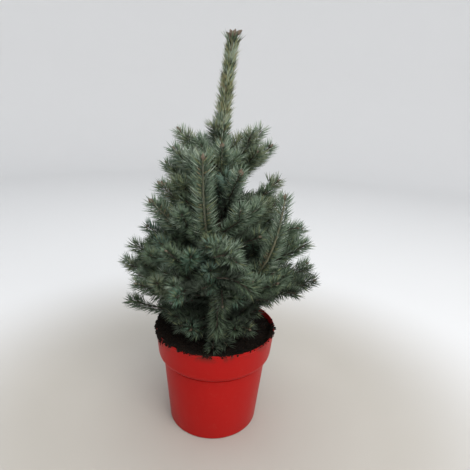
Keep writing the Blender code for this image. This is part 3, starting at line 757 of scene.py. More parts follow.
# %% [markdown]
# How the tree grows
# A spruce has one straight leader. Boughs leave the trunk all round it, long below and
# short above, and each carries side shoots to the left and right, which carry twigs
# again. Here the boughs are named with the height of the root, the turn round the
# trunk, the reach and the height of the tip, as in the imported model. The side shoots
# then follow the same seeded rule, so that they lie in the solids that they replace.

# %% Trunk line
TRUNK_LINE = (
    (0.0, 0.0, 0.173),
    (0.001, 0.0, 0.330),
    (-0.0015, 0.0, 0.490),
    (0.005, 0.0, 0.580),
    (0.0130, 0.001, 0.655),
)
TRUNK_RADII = (
    (0.173, 0.0130), (0.179, 0.0105), (0.190, 0.0090), (0.300, 0.0076),
    (0.400, 0.0060), (0.508, 0.0040), (0.655, 0.0026),
)
LEADER_START = 0.516
LEADER_END = 0.652


def interpolate(table, z):
    """Read a value from (height, value) pairs."""
    if z <= table[0][0]:
        return table[0][1]
    for (low, a), (high, b) in zip(table, table[1:]):
        if z <= high:
            return a + (b - a) * (z - low) / (high - low)
    return table[-1][1]


def trunk_point(z):
    """Return the trunk's centre at height z, on a curve through TRUNK_LINE."""
    line = [Vector(p) for p in TRUNK_LINE]
    for i in range(len(line) - 1):
        if z <= line[i + 1].z or i == len(line) - 2:
            break
    before = line[max(i - 1, 0)]
    after = line[min(i + 2, len(line) - 1)]
    low, high = line[i], line[i + 1]
    t = (z - low.z) / (high.z - low.z)
    low_slope = (high - before) / (high.z - before.z) * (high.z - low.z)
    high_slope = (after - low) / (after.z - low.z) * (high.z - low.z)
    point = (low * (2 * t ** 3 - 3 * t ** 2 + 1) + low_slope * (t ** 3 - 2 * t ** 2 + t)
             + high * (3 * t ** 2 - 2 * t ** 3) + high_slope * (t ** 3 - t ** 2))
    return Vector((point.x, point.y, z))


def trunk_radius(z):
    return interpolate(TRUNK_RADII, z)


LEADER_MIDDLE = (LEADER_START + LEADER_END) / 2
LEADER_CURVE = tuple(trunk_point(z) for z in (LEADER_START, LEADER_MIDDLE, LEADER_END))
print("leader from %.3f to %.3f m" % (LEADER_START, LEADER_END))

# %% Boughs
Bough = namedtuple("Bough", "root turn reach tip out up spread", defaults=(0.5, 0.5, 1.0))
BOUGHS = {
    "top_left": Bough(0.496, 216, 0.016, 0.526),
    "top_right": Bough(0.464, 36, 0.038, 0.506),
    "upper_left": Bough(0.444, 170, 0.066, 0.513),
    "upper_left_inner": Bough(0.452, 198, 0.038, 0.504),
    "upper_left_front": Bough(0.416, 204, 0.076, 0.490),
    "upper_right": Bough(0.448, 346, 0.062, 0.522),
    "upper_right_side": Bough(0.426, 6, 0.078, 0.495),
    "upper_back": Bough(0.444, 100, 0.056, 0.506),
    "upper_front": Bough(0.408, 272, 0.052, 0.498),
    "left_high": Bough(0.382, 174, 0.086, 0.462),
    "front_high": Bough(0.376, 290, 0.080, 0.464, spread=0.35),
    "right_high": Bough(0.376, 12, 0.098, 0.438),
    "back_high": Bough(0.382, 76, 0.084, 0.464),
    "back_left_high": Bough(0.376, 130, 0.088, 0.454),
    "left_upper_middle": Bough(0.352, 198, 0.094, 0.434),
    "right_upper_middle": Bough(0.338, 350, 0.100, 0.416),
    "front_upright": Bough(0.282, 254, 0.090, 0.484, out=0.95, up=0.42, spread=0.45),
    "left_middle": Bough(0.312, 204, 0.111, 0.410),
    "back_middle": Bough(0.316, 100, 0.112, 0.410),
    "back_right_middle": Bough(0.304, 42, 0.116, 0.392),
    "back_left_middle": Bough(0.298, 150, 0.118, 0.384),
    "right_front_upright": Bough(0.252, 321, 0.122, 0.430, out=0.91, up=0.20, spread=0.5),
    "left_lower_middle": Bough(0.284, 178, 0.118, 0.358),
    "left_reach": Bough(0.258, 194, 0.137, 0.338),
    "right_middle": Bough(0.278, 6, 0.142, 0.358),
    "front_middle": Bough(0.266, 276, 0.112, 0.346, up=1.65),
    "right_lower_middle": Bough(0.264, 346, 0.146, 0.348),
    "right_reach": Bough(0.224, 6, 0.157, 0.294),
    "front_left_middle": Bough(0.262, 234, 0.124, 0.352),
    "back_lower_middle": Bough(0.264, 78, 0.138, 0.344),
    "left_wide": Bough(0.226, 176, 0.157, 0.294),
    "left_front_wide": Bough(0.236, 208, 0.140, 0.284),
    "back_left_wide": Bough(0.246, 126, 0.146, 0.318),
    "back_right_wide": Bough(0.242, 44, 0.148, 0.312),
    "back_wide": Bough(0.228, 98, 0.146, 0.284),
    "right_wide": Bough(0.230, 350, 0.163, 0.282, up=0.65),
    "front_right_wide": Bough(0.238, 308, 0.142, 0.312),
    "front_wide": Bough(0.244, 274, 0.130, 0.284, up=2.30),
    "front_left_wide": Bough(0.244, 242, 0.126, 0.284, up=1.50),
    "left_low": Bough(0.204, 177, 0.152, 0.219, up=0.25, spread=0.35),
    "front_left_low": Bough(0.206, 232, 0.092, 0.216),
    "front_low": Bough(0.206, 268, 0.095, 0.191),
    "front_right_low": Bough(0.208, 306, 0.092, 0.214),
    "right_low": Bough(0.210, 6, 0.094, 0.232),
    "back_right_low": Bough(0.208, 58, 0.132, 0.230),
    "back_left_low": Bough(0.206, 118, 0.134, 0.230),
}
LIMB_LENGTH = 0.162
BARE_SHARE = 0.21
SHORT_BARE = 0.011
SAG = 0.07


def bough_curve(bough):
    """Return the three points that bend a bough, from the trunk's centre to its tip."""
    turn = math.radians(bough.turn)
    start = trunk_point(bough.root)
    tip = Vector((bough.reach * math.cos(turn), bough.reach * math.sin(turn), bough.tip))
    dip = SAG * (tip - start).length
    bend = start.lerp(tip, bough.out)
    bend.z = start.z + (tip.z - start.z) * bough.up - dip
    return start, bend, tip


def bough_length(bough):
    start, _, tip = bough_curve(bough)
    return (tip - start).length


def has_limb(bough):
    return bough_length(bough) > LIMB_LENGTH


def on_curve(curve, t):
    a, b, c = curve
    return a.lerp(b, t).lerp(b.lerp(c, t), t)


def along_curve(curve, t):
    a, b, c = curve
    return (b - a).lerp(c - b, t).normalized()


def bare_part(bough):
    """Return how far along its curve, from 0 to 1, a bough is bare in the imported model."""
    if has_limb(bough):
        return BARE_SHARE
    return (trunk_radius(bough.root) + SHORT_BARE) / bough_length(bough)


print(len(BOUGHS), "boughs,", sum(has_limb(bough) for bough in BOUGHS.values()), "with a limb")

# %% [markdown]
# Room for every shoot
# A shoot that would run through its neighbour is shortened until it has room, or left
# out. A search tree of points along every stem answers how near the next one is.

# %% Places
SHOOT_CLEAR = 0.0075
TRUNK_CLEAR = 0.006
SOIL_CLEAR = 0.004
SHORTEST_SHOOT = 0.018
SHORTENING = 0.15
FREE_TENTHS = 3


class Places:
    """Points along every stem, each marked with the piece that owns it."""

    STEP = 0.004

    def __init__(self):
        self.points = []
        self.owners = []
        self.tree = None

    def add(self, curve, start, owner):
        length = (curve[2] - curve[0]).length
        count = max(2, round(length * (1 - start) / self.STEP))
        for k in range(count + 1):
            self.points.append(on_curve(curve, start + (1 - start) * k / count))
            self.owners.append(owner)

    def build(self):
        self.tree = KDTree(len(self.points))
        for i, point in enumerate(self.points):
            self.tree.insert(point, i)
        self.tree.balance()

    def is_free(self, point, owner, reach):
        """Tell whether every stem of another owner is at least this far from a point."""
        return all(
            self.owners[index] == owner or distance >= reach
            for _, index, distance in self.tree.find_range(point, reach))


def clear_of_trunk(point, margin):
    """Tell whether a point is outside the trunk by a margin."""
    if point.z > LEADER_END:
        return True
    centre = trunk_point(max(point.z, SOIL_TOP))
    flat = Vector((point.x - centre.x, point.y - centre.y))
    return flat.length > trunk_radius(point.z) + margin


def clear_of_pot(point, margin):
    """Tell whether a point is above the soil and the rim by a margin."""
    flat = math.hypot(point.x, point.y)
    if flat > RIM_RADIUS + margin:
        return point.z > COLLAR_BOTTOM
    inner = RIM_RADIUS - POT_WALL - margin
    floor = POT_HEIGHT if flat > inner else soil_height(point.x, point.y)
    return point.z > floor + margin


def fit_shoot(shoot, owner, places, clearance, shortest):
    """Shorten a shoot until it has room, or return None."""
    length = (shoot[2] - shoot[0]).length
    share = 1.0
    while length * share > shortest:
        bent = (shoot[0], shoot[0].lerp(shoot[1], share), on_curve(shoot, share))
        outer_part = [on_curve(bent, tenth / 10) for tenth in range(FREE_TENTHS, 11)]
        if all(has_room(point, owner, places, clearance) for point in outer_part):
            return bent
        share -= SHORTENING
    return None


def has_room(point, owner, places, clearance):
    return (places.is_free(point, owner, clearance) and clear_of_trunk(point, TRUNK_CLEAR)
            and clear_of_pot(point, SOIL_CLEAR))


# %% Side shoots
SHOOT_SEED = 11
SHOOT_SPACING = 0.018
FIRST_SHOOT = 0.08
LAST_SHOOT = 0.60
SHOOT_ANGLE = math.radians(42)
SHOOT_TILT = (-0.15, 0.75)
SHOOT_BOW = 0.06
SHOOT_SHARE = 0.85
LONGEST_SHOOT = 0.080
LENGTH_VARIES = (0.87, 1.09)
LIMB_FREE_FROM = 0.2
SHOOT_MOVES = 0.2


def leave(curve, t, side, tilt):
    """Return the way out and the heading of a shoot that leaves a curve at t."""
    ahead = along_curve(curve, t)
    flat = ahead.cross(UP).normalized()
    outward = (flat * side + flat.cross(ahead) * tilt).normalized()
    return outward, ahead * math.cos(SHOOT_ANGLE) + outward * math.sin(SHOOT_ANGLE)


def bowed(root, heading, reach, bow):
    """Return the three points of a shoot that bows a little on its way."""
    bend = bow * reach * SHOOT_BOW
    return root, root + heading * reach * 0.5 + bend, root + heading * reach


def side_shoots(name, bough):
    """Return the curves of a bough's side shoots, from the first to the last."""
    dice = random.Random(f"{name} {SHOOT_SEED}")
    curve = bough_curve(bough)
    length = bough_length(bough)
    bare = bare_part(bough)
    span = LAST_SHOOT - FIRST_SHOOT
    count = max(1, round(length * (1 - bare) * span / SHOOT_SPACING))
    side = dice.choice((-1, 1))
    shoots = []
    for k in range(count):
        place = k + dice.uniform(-SHOOT_MOVES, SHOOT_MOVES)
        share = FIRST_SHOOT + span * place / max(count - 1, 1)
        t = bare + (1 - bare) * max(share, FIRST_SHOOT / 2)
        outward, heading = leave(curve, t, side, dice.uniform(*SHOOT_TILT))
        side = -side
        reach = min(length * (1 - t) * SHOOT_SHARE * dice.uniform(*LENGTH_VARIES), LONGEST_SHOOT)
        reach *= bough.spread
        if reach >= SHORTEST_SHOOT:
            shoots.append(bowed(on_curve(curve, t), heading, reach, outward))
    return shoots


def grow_crown():
    """Settle the side shoots of every bough that find room."""
    places = Places()
    for name, bough in BOUGHS.items():
        curve = bough_curve(bough)
        bare = bare_part(bough)
        places.add(curve, bare, name)
        limb = (curve[0], on_curve(curve, bare / 2), on_curve(curve, bare))
        places.add(limb, LIMB_FREE_FROM, f"{name} limb")
    places.add(LEADER_CURVE, 0.0, "leader")
    places.build()
    crown = {}
    for name, bough in BOUGHS.items():
        crown[name] = []
        for shoot in side_shoots(name, bough):
            kept = fit_shoot(shoot, name, places, SHOOT_CLEAR, SHORTEST_SHOOT)
            if kept:
                crown[name].append(kept)
                places.add(kept, 0.0, name)
                places.build()
    return crown


crown = grow_crown()
print("side shoots:", sum(len(shoots) for shoots in crown.values()))

# %% [markdown]
# Twigs
# The same rule goes one step finer. Twigs leave the boughs and the side shoots to the
# left and right, closer together and shorter. Short inner shoots stand straight on the
# trunk and fill the middle of the crown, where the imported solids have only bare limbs.
# A twig that points straight at the viewer would show as a round brush, of which the
# photograph has few, so such twigs aren't grown.

# %% Twig rule
Stem = namedtuple("Stem", "curve start owner order tone")
VIEWER = np.array([0.0, -0.954, 0.3])
STEP_VARIES = (0.2, 0.8)
TWIG_SPACING = 0.010
FIRST_TWIG = 0.10
LAST_TWIG = 0.88
TWIG_TILT = (-0.25, 1.25)
NO_LENGTH_AT = 1.02
TWIG_SHARE = (0.55, 0.8)
LONGEST_TWIG = 0.046
SHORTEST_TWIG = 0.014
TWIG_FACES = 0.84
TWIG_RISE = 0.5
OUTER_PART = 0.5
OUTER_TWIGS = 0.40
INNER_PART = 0.35
INNER_SHARE = 0.6
INNER_TWIG = 0.022


def twigs_of(stem, dice):
    """Return the curves of the twigs that one stem would like to carry."""
    length = (stem.curve[2] - stem.curve[0]).length
    first = max(FIRST_TWIG, stem.start)
    count = int(length * (LAST_TWIG - first) / TWIG_SPACING)
    side = dice.choice((-1, 1))
    twigs = []
    for k in range(count):
        t = first + (LAST_TWIG - first) * (k + dice.uniform(*STEP_VARIES)) / count
        outward, heading = leave(stem.curve, t, side, dice.uniform(*TWIG_TILT))
        side = -side
        reach = min(length * (NO_LENGTH_AT - t) * dice.uniform(*TWIG_SHARE), LONGEST_TWIG)
        if t < INNER_PART and stem.order == 0:
            reach = max(reach * INNER_SHARE, INNER_TWIG)
        if t > OUTER_PART and dice.random() > OUTER_TWIGS:
            continue
        if reach < SHORTEST_TWIG or heading.dot(Vector(VIEWER)) > TWIG_FACES:
            continue
        twigs.append(bowed(on_curve(stem.curve, t), heading, reach, outward + UP * TWIG_RISE))
    return twigs


# %% Shoots on the trunk
TRUNK_TWIGS = 92
TRUNK_TWIGS_FROM = 0.200
TRUNK_TWIGS_SPAN = 0.300
TRUNK_TWIG_TURN = 2.39996
TRUNK_TURN_VARIES = 0.3
TRUNK_TWIG_TILT = (0.25, 0.8)
TRUNK_TWIG_REACH = (0.030, 0.055)
LONGER_BELOW = 1.15
SHORTER_ABOVE = 0.5


def trunk_twigs(dice):
    """Return short inner shoots that stand straight on the trunk, all the way up."""
    twigs = []
    for k in range(TRUNK_TWIGS):
        share = (k + dice.uniform(0.0, 1.0)) / TRUNK_TWIGS
        z = TRUNK_TWIGS_FROM + TRUNK_TWIGS_SPAN * share
        turn = k * TRUNK_TWIG_TURN + dice.uniform(-TRUNK_TURN_VARIES, TRUNK_TURN_VARIES)
        tilt = dice.uniform(*TRUNK_TWIG_TILT)
        out = Vector((math.cos(turn), math.sin(turn), tilt)).normalized()
        reach = dice.uniform(*TRUNK_TWIG_REACH) * (LONGER_BELOW - SHORTER_ABOVE * share)
        twigs.append(bowed(trunk_point(z), out, reach, UP))
    return twigs


# %% [markdown]
# Forms that the photograph shows
# The rule gives a crown of the right kind, and a few named forms make it this one.
# Parted shoots stand before the crown with their needles combed to both sides, so that
# the stem shows between them. The two upright ones carry no shoots of their own.
# Sprays are extra shoots that arch across the view. Hollows are eggs of air, and
# shades are eggs in which all needles get the near-black colour as painted shade. Each
# egg points at the viewer, so that a slim one is enough to open a gap.

# %% Parted shoots and sprays
PARTED = {
    "front_upright": (0.20, 1.01),
    "right_front_upright": (0.15, 0.76),
    "upper_front": (0.30, 0.88),
    "left_middle": (0.35, 0.92),
    "left_upper_middle": (0.35, 0.92),
}
BARE_SHOOTS = ("front_upright", "right_front_upright")
SPRAY_TONE = 2.0
SPRAYS = (
    ("front_middle", (-0.006, -0.112, 0.350), (0.018, -0.126, 0.364), (0.038, -0.124, 0.344)),
    ("front_high", (0.006, -0.058, 0.370), (0.030, -0.084, 0.396), (0.056, -0.080, 0.415)),
    ("front_wide", (0.000, -0.116, 0.320), (0.026, -0.132, 0.331), (0.050, -0.124, 0.303)),
    ("left_middle", (-0.073, -0.010, 0.357), (-0.083, -0.010, 0.370), (-0.094, -0.010, 0.375)),
    ("left_lower_middle", (-0.086, -0.010, 0.322), (-0.098, -0.010, 0.336), (-0.109, -0.010, 0.342)),
    ("left_reach", (-0.108, 0.000, 0.292), (-0.119, 0.000, 0.302), (-0.130, 0.000, 0.304)),
    ("right_middle", (0.103, -0.010, 0.356), (0.116, -0.010, 0.366), (0.129, -0.010, 0.367)),
    ("right_reach", (0.136, 0.000, 0.283), (0.147, 0.000, 0.289), (0.157, 0.000, 0.287)),
    ("right_low", (0.064, -0.060, 0.259), (0.073, -0.060, 0.263), (0.083, -0.060, 0.258)),
)
LAST_SPRAYS = (
    ("front_low", (0.004, -0.075, 0.279), (0.002, -0.112, 0.264), (0.002, -0.104, 0.224)),
)


def sprays_of(sprays, name):
    """Return the sprays that belong to one bough."""
    return [
        Stem(tuple(Vector(point) for point in points), 0.0, owner, 1, SPRAY_TONE)
        for owner, *points in sprays if owner == name]


print(len(PARTED), "parted shoots,", len(SPRAYS) + len(LAST_SPRAYS), "sprays")

# %% Hollows and shades
HOLLOWS = {
    "beside_the_front": ((0.052, -0.085, 0.350), (0.013, 0.018, 0.055)),
    "under_the_front": ((0.011, -0.105, 0.329), (0.014, 0.008, 0.040)),
    "low_left": ((-0.033, -0.102, 0.279), (0.018, 0.012, 0.052)),
    "notch_right": ((0.055, 0.000, 0.439), (0.011, 0.007, 0.110)),
    "notch_outer": ((0.073, 0.000, 0.453), (0.013, 0.007, 0.110)),
    "under_tip": ((0.088, 0.000, 0.428), (0.006, 0.005, 0.090)),
    "under_right": ((0.128, -0.020, 0.245), (0.020, 0.006, 0.080)),
    "sky_low_left": ((-0.119, 0.000, 0.232), (0.014, 0.009, 0.080)),
    "sky_right": ((0.136, 0.000, 0.307), (0.007, 0.004, 0.080)),
}
# Eggs of painted shade: every needle rooted in one is given the near-black colour.
SHADES = {
    "low_left": ((-0.031, -0.100, 0.297), (0.019, 0.022, 0.080)),
    "under_the_front": ((0.010, -0.110, 0.321), (0.018, 0.008, 0.070)),
    "below_the_feather": ((-0.028, -0.090, 0.357), (0.013, 0.015, 0.070)),
}
OUTER_HALF = 0.6


def in_eggs(points, eggs):
    """Tell which points lie in one of the eggs, each a centre and three half widths."""
    across = np.array([1.0, 0.0, 0.0])
    axes = np.stack([across, np.cross(across, VIEWER), VIEWER])
    found = np.zeros(len(points), dtype=bool)
    for centre, half in eggs.values():
        local = (points - np.array(centre)) @ axes.T / np.array(half)
        found |= np.sum(local ** 2, axis=1) < 1
    return found


def through_hollow(curve):
    """Tell whether the outer half of a shoot lies in a hollow."""
    return in_eggs(np.array([on_curve(curve, OUTER_HALF), curve[2]]), HOLLOWS).any()


print(len(HOLLOWS), "hollows,", len(SHADES), "shades")

# %% All stems
STEM_SEED = 23
BOUGH_START = 0.05
TWIG_CLEAR = 0.0074
TWIG_FREE_FROM = 0.3


def main_stems(dice):
    """Return the boughs, each followed by its sprays and its side shoots."""
    found = []
    for name, bough in BOUGHS.items():
        found.append(Stem(bough_curve(bough), BOUGH_START, name, 0, dice.random()))
        found += sprays_of(SPRAYS, name)
        for shoot in crown[name]:
            stem = Stem(shoot, 0.0, name, 1, dice.random())
            if name not in BARE_SHOOTS and not through_hollow(shoot):
                found.append(stem)
    return found


def nearest_bough(height):
    """Return the bough whose root is nearest to a height on the trunk."""
    return min(BOUGHS, key=lambda name: abs(BOUGHS[name].root - height))


def grow_stems():
    """Return every stem of the crown: boughs, sprays, side shoots and twigs."""
    dice = random.Random(STEM_SEED)
    grown = main_stems(dice)
    places = Places()
    for index, stem in enumerate(grown):
        places.add(stem.curve, stem.start, index)
    places.add(LEADER_CURVE, 0.0, "leader")
    places.build()
    wishes = []
    for index, stem in enumerate(grown):
        if stem.owner not in BARE_SHOOTS:
            wishes += [(index, twig) for twig in twigs_of(stem, dice)]
    dice.shuffle(wishes)
    wishes += [(None, twig) for twig in trunk_twigs(dice)]
    for parent, wish in wishes:
        twig = fit_shoot(wish, parent, places, TWIG_CLEAR, SHORTEST_TWIG)
        if not twig or through_hollow(twig):
            continue
        places.add(twig, TWIG_FREE_FROM, len(grown))
        places.build()
        on_trunk = parent is None
        owner = nearest_bough(twig[0].z) if on_trunk else grown[parent].owner
        grown.append(Stem(twig, 0.0, owner, 3 if on_trunk else 2, dice.random()))
    for name in BOUGHS:
        grown += sprays_of(LAST_SPRAYS, name)
    return grown


stems = grow_stems()
print("stems:", len(stems), "of which twigs:", sum(stem.order > 1 for stem in stems))

# %% [markdown]
# Needles
# A blue spruce needle is stiff, square and pointed, here about 15 to 27 mm long and
# 1.4 mm thick. Needles stand all round the shoot in a spiral, lean forward, and those
# from below curve upwards. At the tip they close in to a brush. One needle is a
# three-sided spindle of six triangles, bent a little at its waist. Each stem gets its
# needles from one golden-angle spiral, worked out with arrays.

# %% One stem's needles
NEEDLE_FACES = [[0, 2, 1], [0, 3, 2], [0, 1, 3], [1, 2, 4], [2, 3, 4], [3, 1, 4]]
NEEDLE_LENGTH = 0.0208
NEEDLE_WAIST = 0.00070
WAIST_PLACE = 0.40
NEEDLE_LEANS = (61, 54)
LEAN_VARIES = 4.6
LENGTH_VARIES_BY = (0.88, 1.08)
GOLDEN = 2.399963
TURN_VARIES = 0.25
NEEDLE_FOOT = 0.0009
FEWEST_NEEDLES = 6
TIP_ZONE = 0.012
TIP_CLOSES = 12
TIP_SHORTER = 0.10
BEND = 0.07
LIFT = 0.16
LIFT_ABOVE = 0.4
LIFT_BELOW = 0.6
PARTING = 0.50
PARTED_LENGTH = 0.0270
STUB_FACES = 0.25
STUB_SHARE = 0.55
STUBS_KEPT = 0.60
OFF_AXIS = np.array([0.31, 0.17, 0.93])


def unit(vectors):
    return vectors / np.maximum(np.linalg.norm(vectors, axis=-1, keepdims=True), 1e-9)


def needle_points(roots, ways, late_ways, lengths, widths):
    """Return five points for each needle, which bends from its first way to its late one."""
    sides = unit(np.cross(ways, OFF_AXIS))
    others = np.cross(ways, sides)
    waists = roots + ways * (lengths * WAIST_PLACE)[:, None]
    tips = waists + late_ways * (lengths * (1 - WAIST_PLACE))[:, None]
    points = [roots]
    for k in range(3):
        turn = math.tau * k / 3
        arm = sides * math.cos(turn) + others * math.sin(turn)
        points.append(waists + arm * (NEEDLE_WAIST * widths)[:, None])
    points.append(tips)
    return np.stack(points, axis=1)


def parted_zone(stem, t):
    """Tell for each place along a stem whether its needles part there."""
    if stem.owner not in PARTED or stem.order > 0:
        return np.zeros(len(t), dtype=bool)
    first, last = PARTED[stem.owner]
    return (t > first) & (t < last)


def stem_needles(stem, density, dice, leans=NEEDLE_LEANS, length=NEEDLE_LENGTH, bend=BEND,
                 varies=LEAN_VARIES):
    """Return the needles of one stem: roots, first ways, late ways and lengths."""
    a, b, c = (np.array(point) for point in stem.curve)
    span = np.linalg.norm(c - a) * (1 - stem.start)
    count = max(FEWEST_NEEDLES, int(span * density))
    step = (np.arange(count) + dice.uniform(*STEP_VARIES, count)) / count
    t = (stem.start + (1 - stem.start) * step)[:, None]
    centre = (1 - t) ** 2 * a + 2 * t * (1 - t) * b + t ** 2 * c
    ahead = unit((1 - t) * (b - a) + t * (c - b))
    side = unit(np.cross(ahead, np.array(UP)))
    over = np.cross(side, ahead)
    turn = (np.arange(count) * GOLDEN + dice.normal(0, TURN_VARIES, count))[:, None]
    outward = side * np.cos(turn) + over * np.sin(turn)
    parted = parted_zone(stem, t[:, 0])
    if parted.any():
        facing = (outward @ VIEWER) * parted
        outward = unit(outward - np.outer(facing * PARTING, VIEWER))
    closing = np.clip(1 - (1 - step) * span / TIP_ZONE, 0, 1)
    lean = leans[0] + (leans[1] - leans[0]) * step - TIP_CLOSES * closing
    lean = np.radians(lean + dice.normal(0, varies, count))[:, None]
    ways = unit(ahead * np.cos(lean) + outward * np.sin(lean))
    below = 1 - over[:, 2:3] * np.sin(turn)
    lift = np.array([0.0, 0.0, LIFT]) * (LIFT_ABOVE + LIFT_BELOW * below)
    late = unit(ways + ahead * bend + lift)
    size = length * dice.uniform(*LENGTH_VARIES_BY, count) * (1 - TIP_SHORTER * closing)
    stubs = parted & (outward @ VIEWER > STUB_FACES)
    size = size * np.where(parted, PARTED_LENGTH / NEEDLE_LENGTH, 1.0)
    size = size * np.where(stubs, STUB_SHARE, 1.0)
    kept = ~stubs | (dice.random(count) < STUBS_KEPT)
    return tuple(part[kept] for part in (centre + outward * NEEDLE_FOOT, ways, late, size))


# %% [markdown]
# Colour of the needles
# The bloom on a young needle is pale blue-grey. It wears off, so that older needles
# further in are green. Sprays further in and lower down are also darker as painted
# shade, and needles far inside the crown, on the lower inner shoots of the trunk and on
# the dimmest sprays are painted near-black as shade. Sprays differ too: pale ones are
# found high up and to the left, those in the middle of the crown are cooler, and those
# at its sides are browner. Each spray gets one of a few plain colours, by its place in
# the crown and a throw of the dice.

# %% Needle finishes
NEEDLE_COLORS = {
    "blue_grey": (0.154, 0.205, 0.149),
    "silver": (0.280, 0.335, 0.258),
    "sea_green": (0.112, 0.165, 0.106),
    "cool_grey": (0.126, 0.204, 0.158),
    "cool_green": (0.088, 0.166, 0.112),
    "moss": (0.176, 0.200, 0.122),
    "dark_moss": (0.132, 0.160, 0.088),
    "green": (0.078, 0.116, 0.064),
    "olive": (0.165, 0.190, 0.092),
    "leader_olive": (0.230, 0.240, 0.120),
    # A near-black green: some of the darkest needles get it at random, and it is painted shade on
    # needles far inside the crown and in the shade eggs.
    "dark_and_painted_shade": (0.040, 0.056, 0.036),
    "straw": (0.200, 0.150, 0.085),
}


def needle_finish(name, color):
    """A waxy needle: satin, with its bloom rubbed here and there."""
    finish = Finish(f"needle_{name}", color, 0.5)
    worn = finish.noise(330.0, 2.0)
    finish.set("Roughness", 0.42 + 0.26 * worn)
    finish.set("Specular IOR Level", 0.38)
    finish.bump(worn, 0.0003, 0.5)
    return finish


needle_finishes = [needle_finish(name, color) for name, color in NEEDLE_COLORS.items()]
TINTS = {name: index for index, name in enumerate(NEEDLE_COLORS)}
print(len(needle_finishes), "needle colours")

# %% Tint of a spray
CROWN_REACH = 0.158
CROWN_TAPER = 0.590
CROWN_WIDE_TO = 0.30
CROWN_NARROWEST = 0.02
CROWN_FOOT = 0.19
CROWN_HEIGHT = 0.30
SPRAY_MIDDLE = 0.6
OUTER_LIGHT = 0.50
UPPER_LIGHT = 0.50
SIDE_TONE = 1.20
LIGHT_VARIES = 0.15
SHADE_BELOW = 0.30
GREEN_BELOW = 0.48
PALE_ABOVE = 0.66
PALE_FROM = 0.25
UPPER_FROM = 0.36
OLIVE_TONE = 0.90
SILVER_TONE = 0.09
WARMTH_SHARES = (0.30, 0.25, 0.45)
COOL_BELOW = 0.36
WARM_ABOVE = 0.64


def crown_reach(height):
    """Return about how far out the crown stands at a height."""
    taper = CROWN_TAPER * np.maximum(0.0, height - CROWN_WIDE_TO)
    return np.maximum(CROWN_NARROWEST, CROWN_REACH - taper)


def by_warmth(stem, middle, cool, neutral, warm):
    """Choose one of three tints: cool in the middle of the crown, warm at its sides."""
    bough_tone = random.Random(f"{stem.owner} tone").random()
    aside = min(1.0, abs(middle.x) / float(crown_reach(middle.z)))
    own, shared, place = WARMTH_SHARES
    warmth = own * stem.tone + shared * bough_tone + place * aside
    if warmth < COOL_BELOW:
        return cool
    return warm if warmth > WARM_ABOVE else neutral


def spray_tint(stem, dice):
    """Name a spray's tint by how far out, how high and on which side it lies."""
    middle = on_curve(stem.curve, SPRAY_MIDDLE)
    outer = min(1.0, math.hypot(middle.x, middle.y) / float(crown_reach(middle.z)))
    height = min(1.0, max(0.0, (middle.z - CROWN_FOOT) / CROWN_HEIGHT))
    # Sprays further out and higher up are lighter: partly young bloom, partly painted shade that
    # darkens the inner and lower crown.
    light = OUTER_LIGHT * outer + UPPER_LIGHT * height - SIDE_TONE * middle.x
    light += dice.normal(0, LIGHT_VARIES)
    low = middle.z < PALE_FROM
    if stem.owner in PARTED and stem.order == 0:
        return "blue_grey"
    if stem.order == 3 and middle.z > UPPER_FROM:
        return "green"
    # Painted shade: trunk shoots below the upper crown, and sprays whose lightness is under the
    # shade threshold, get the near-black colour.
    if stem.order == 3 or light < SHADE_BELOW:
        return "dark_and_painted_shade"
    if stem.tone == SPRAY_TONE:
        return "green" if middle.z < UPPER_FROM else "sea_green"
    if light < (PALE_ABOVE if low else GREEN_BELOW):
        return "green"
    if stem.tone > OLIVE_TONE:
        return "olive"
    if light < PALE_ABOVE or low:
        return by_warmth(stem, middle, "cool_green", "sea_green", "dark_moss")
    if stem.tone < SILVER_TONE and middle.z > UPPER_FROM:
        return "silver"
    return by_warmth(stem, middle, "cool_grey", "blue_grey", "moss")


# %% Tint of each needle
BY_LIGHTNESS = ("dark_and_painted_shade", "green", "sea_green", "blue_grey", "silver")
LIGHTER_SHARE = 0.16
DARKER_SHARE = 0.28
PARTED_DARKER = 0.60
OLIVE_SHARE = 0.05
INNER_SHADE_START = 0.26
INNER_SHADE_END = 0.58
STUB_LENGTH = 0.0150
OLIVE_STUBS = 0.78


def neighbour_tints(tint):
    """Return the tints next to this one, the lighter one first."""
    if tint not in BY_LIGHTNESS:
        return "blue_grey", "green"
    place = BY_LIGHTNESS.index(tint)
    return BY_LIGHTNESS[min(place + 1, len(BY_LIGHTNESS) - 1)], BY_LIGHTNESS[max(place - 1, 0)]


def needle_tints(tint, roots, size, dice):
    """Deal a spray's tint to its needles and the neighbour tints to some, olive or straw
    to short stubs, and the near-black colour as painted shade to those in a shade egg or
    far inside the crown."""
    count = len(roots)
    tints = np.full(count, TINTS[tint])
    throw = dice.random(count)
    lighter, darker = neighbour_tints(tint)
    darker_share = PARTED_DARKER if size.max() > PARTED_LENGTH else DARKER_SHARE
    tints[throw < LIGHTER_SHARE] = TINTS[lighter]
    tints[throw > 1 - darker_share] = TINTS[darker]
    tints[dice.random(count) < OLIVE_SHARE] = TINTS["olive"]
    # Painted shade: the further in a needle sits, the likelier it gets the near-black colour.
    depth = np.hypot(roots[:, 0], roots[:, 1]) / crown_reach(roots[:, 2])
    inside = np.clip((INNER_SHADE_END - depth) / (INNER_SHADE_END - INNER_SHADE_START), 0, 1)
    tints[dice.random(count) < inside] = TINTS["dark_and_painted_shade"]
    # Painted shade: every needle rooted in a shade egg gets the near-black colour.
    tints[in_eggs(roots, SHADES)] = TINTS["dark_and_painted_shade"]
    stubs = size < STUB_LENGTH
    olive = dice.random(stubs.sum()) < OLIVE_STUBS
    tints[stubs] = np.where(olive, TINTS["olive"], TINTS["straw"])
    return tints


# %% Needle pieces
NEEDLE_SEED = 8
FULL_PIECE = 24000
DENSITY = {0: 4000, 1: 3900, 2: 3400, 3: 1900}
WIDTH_VARIES = (0.85, 1.15)
BOTTOM_CLEAR = 0.0015
BARK_CLEAR = 0.0012
BOX_REACH = 0.0085


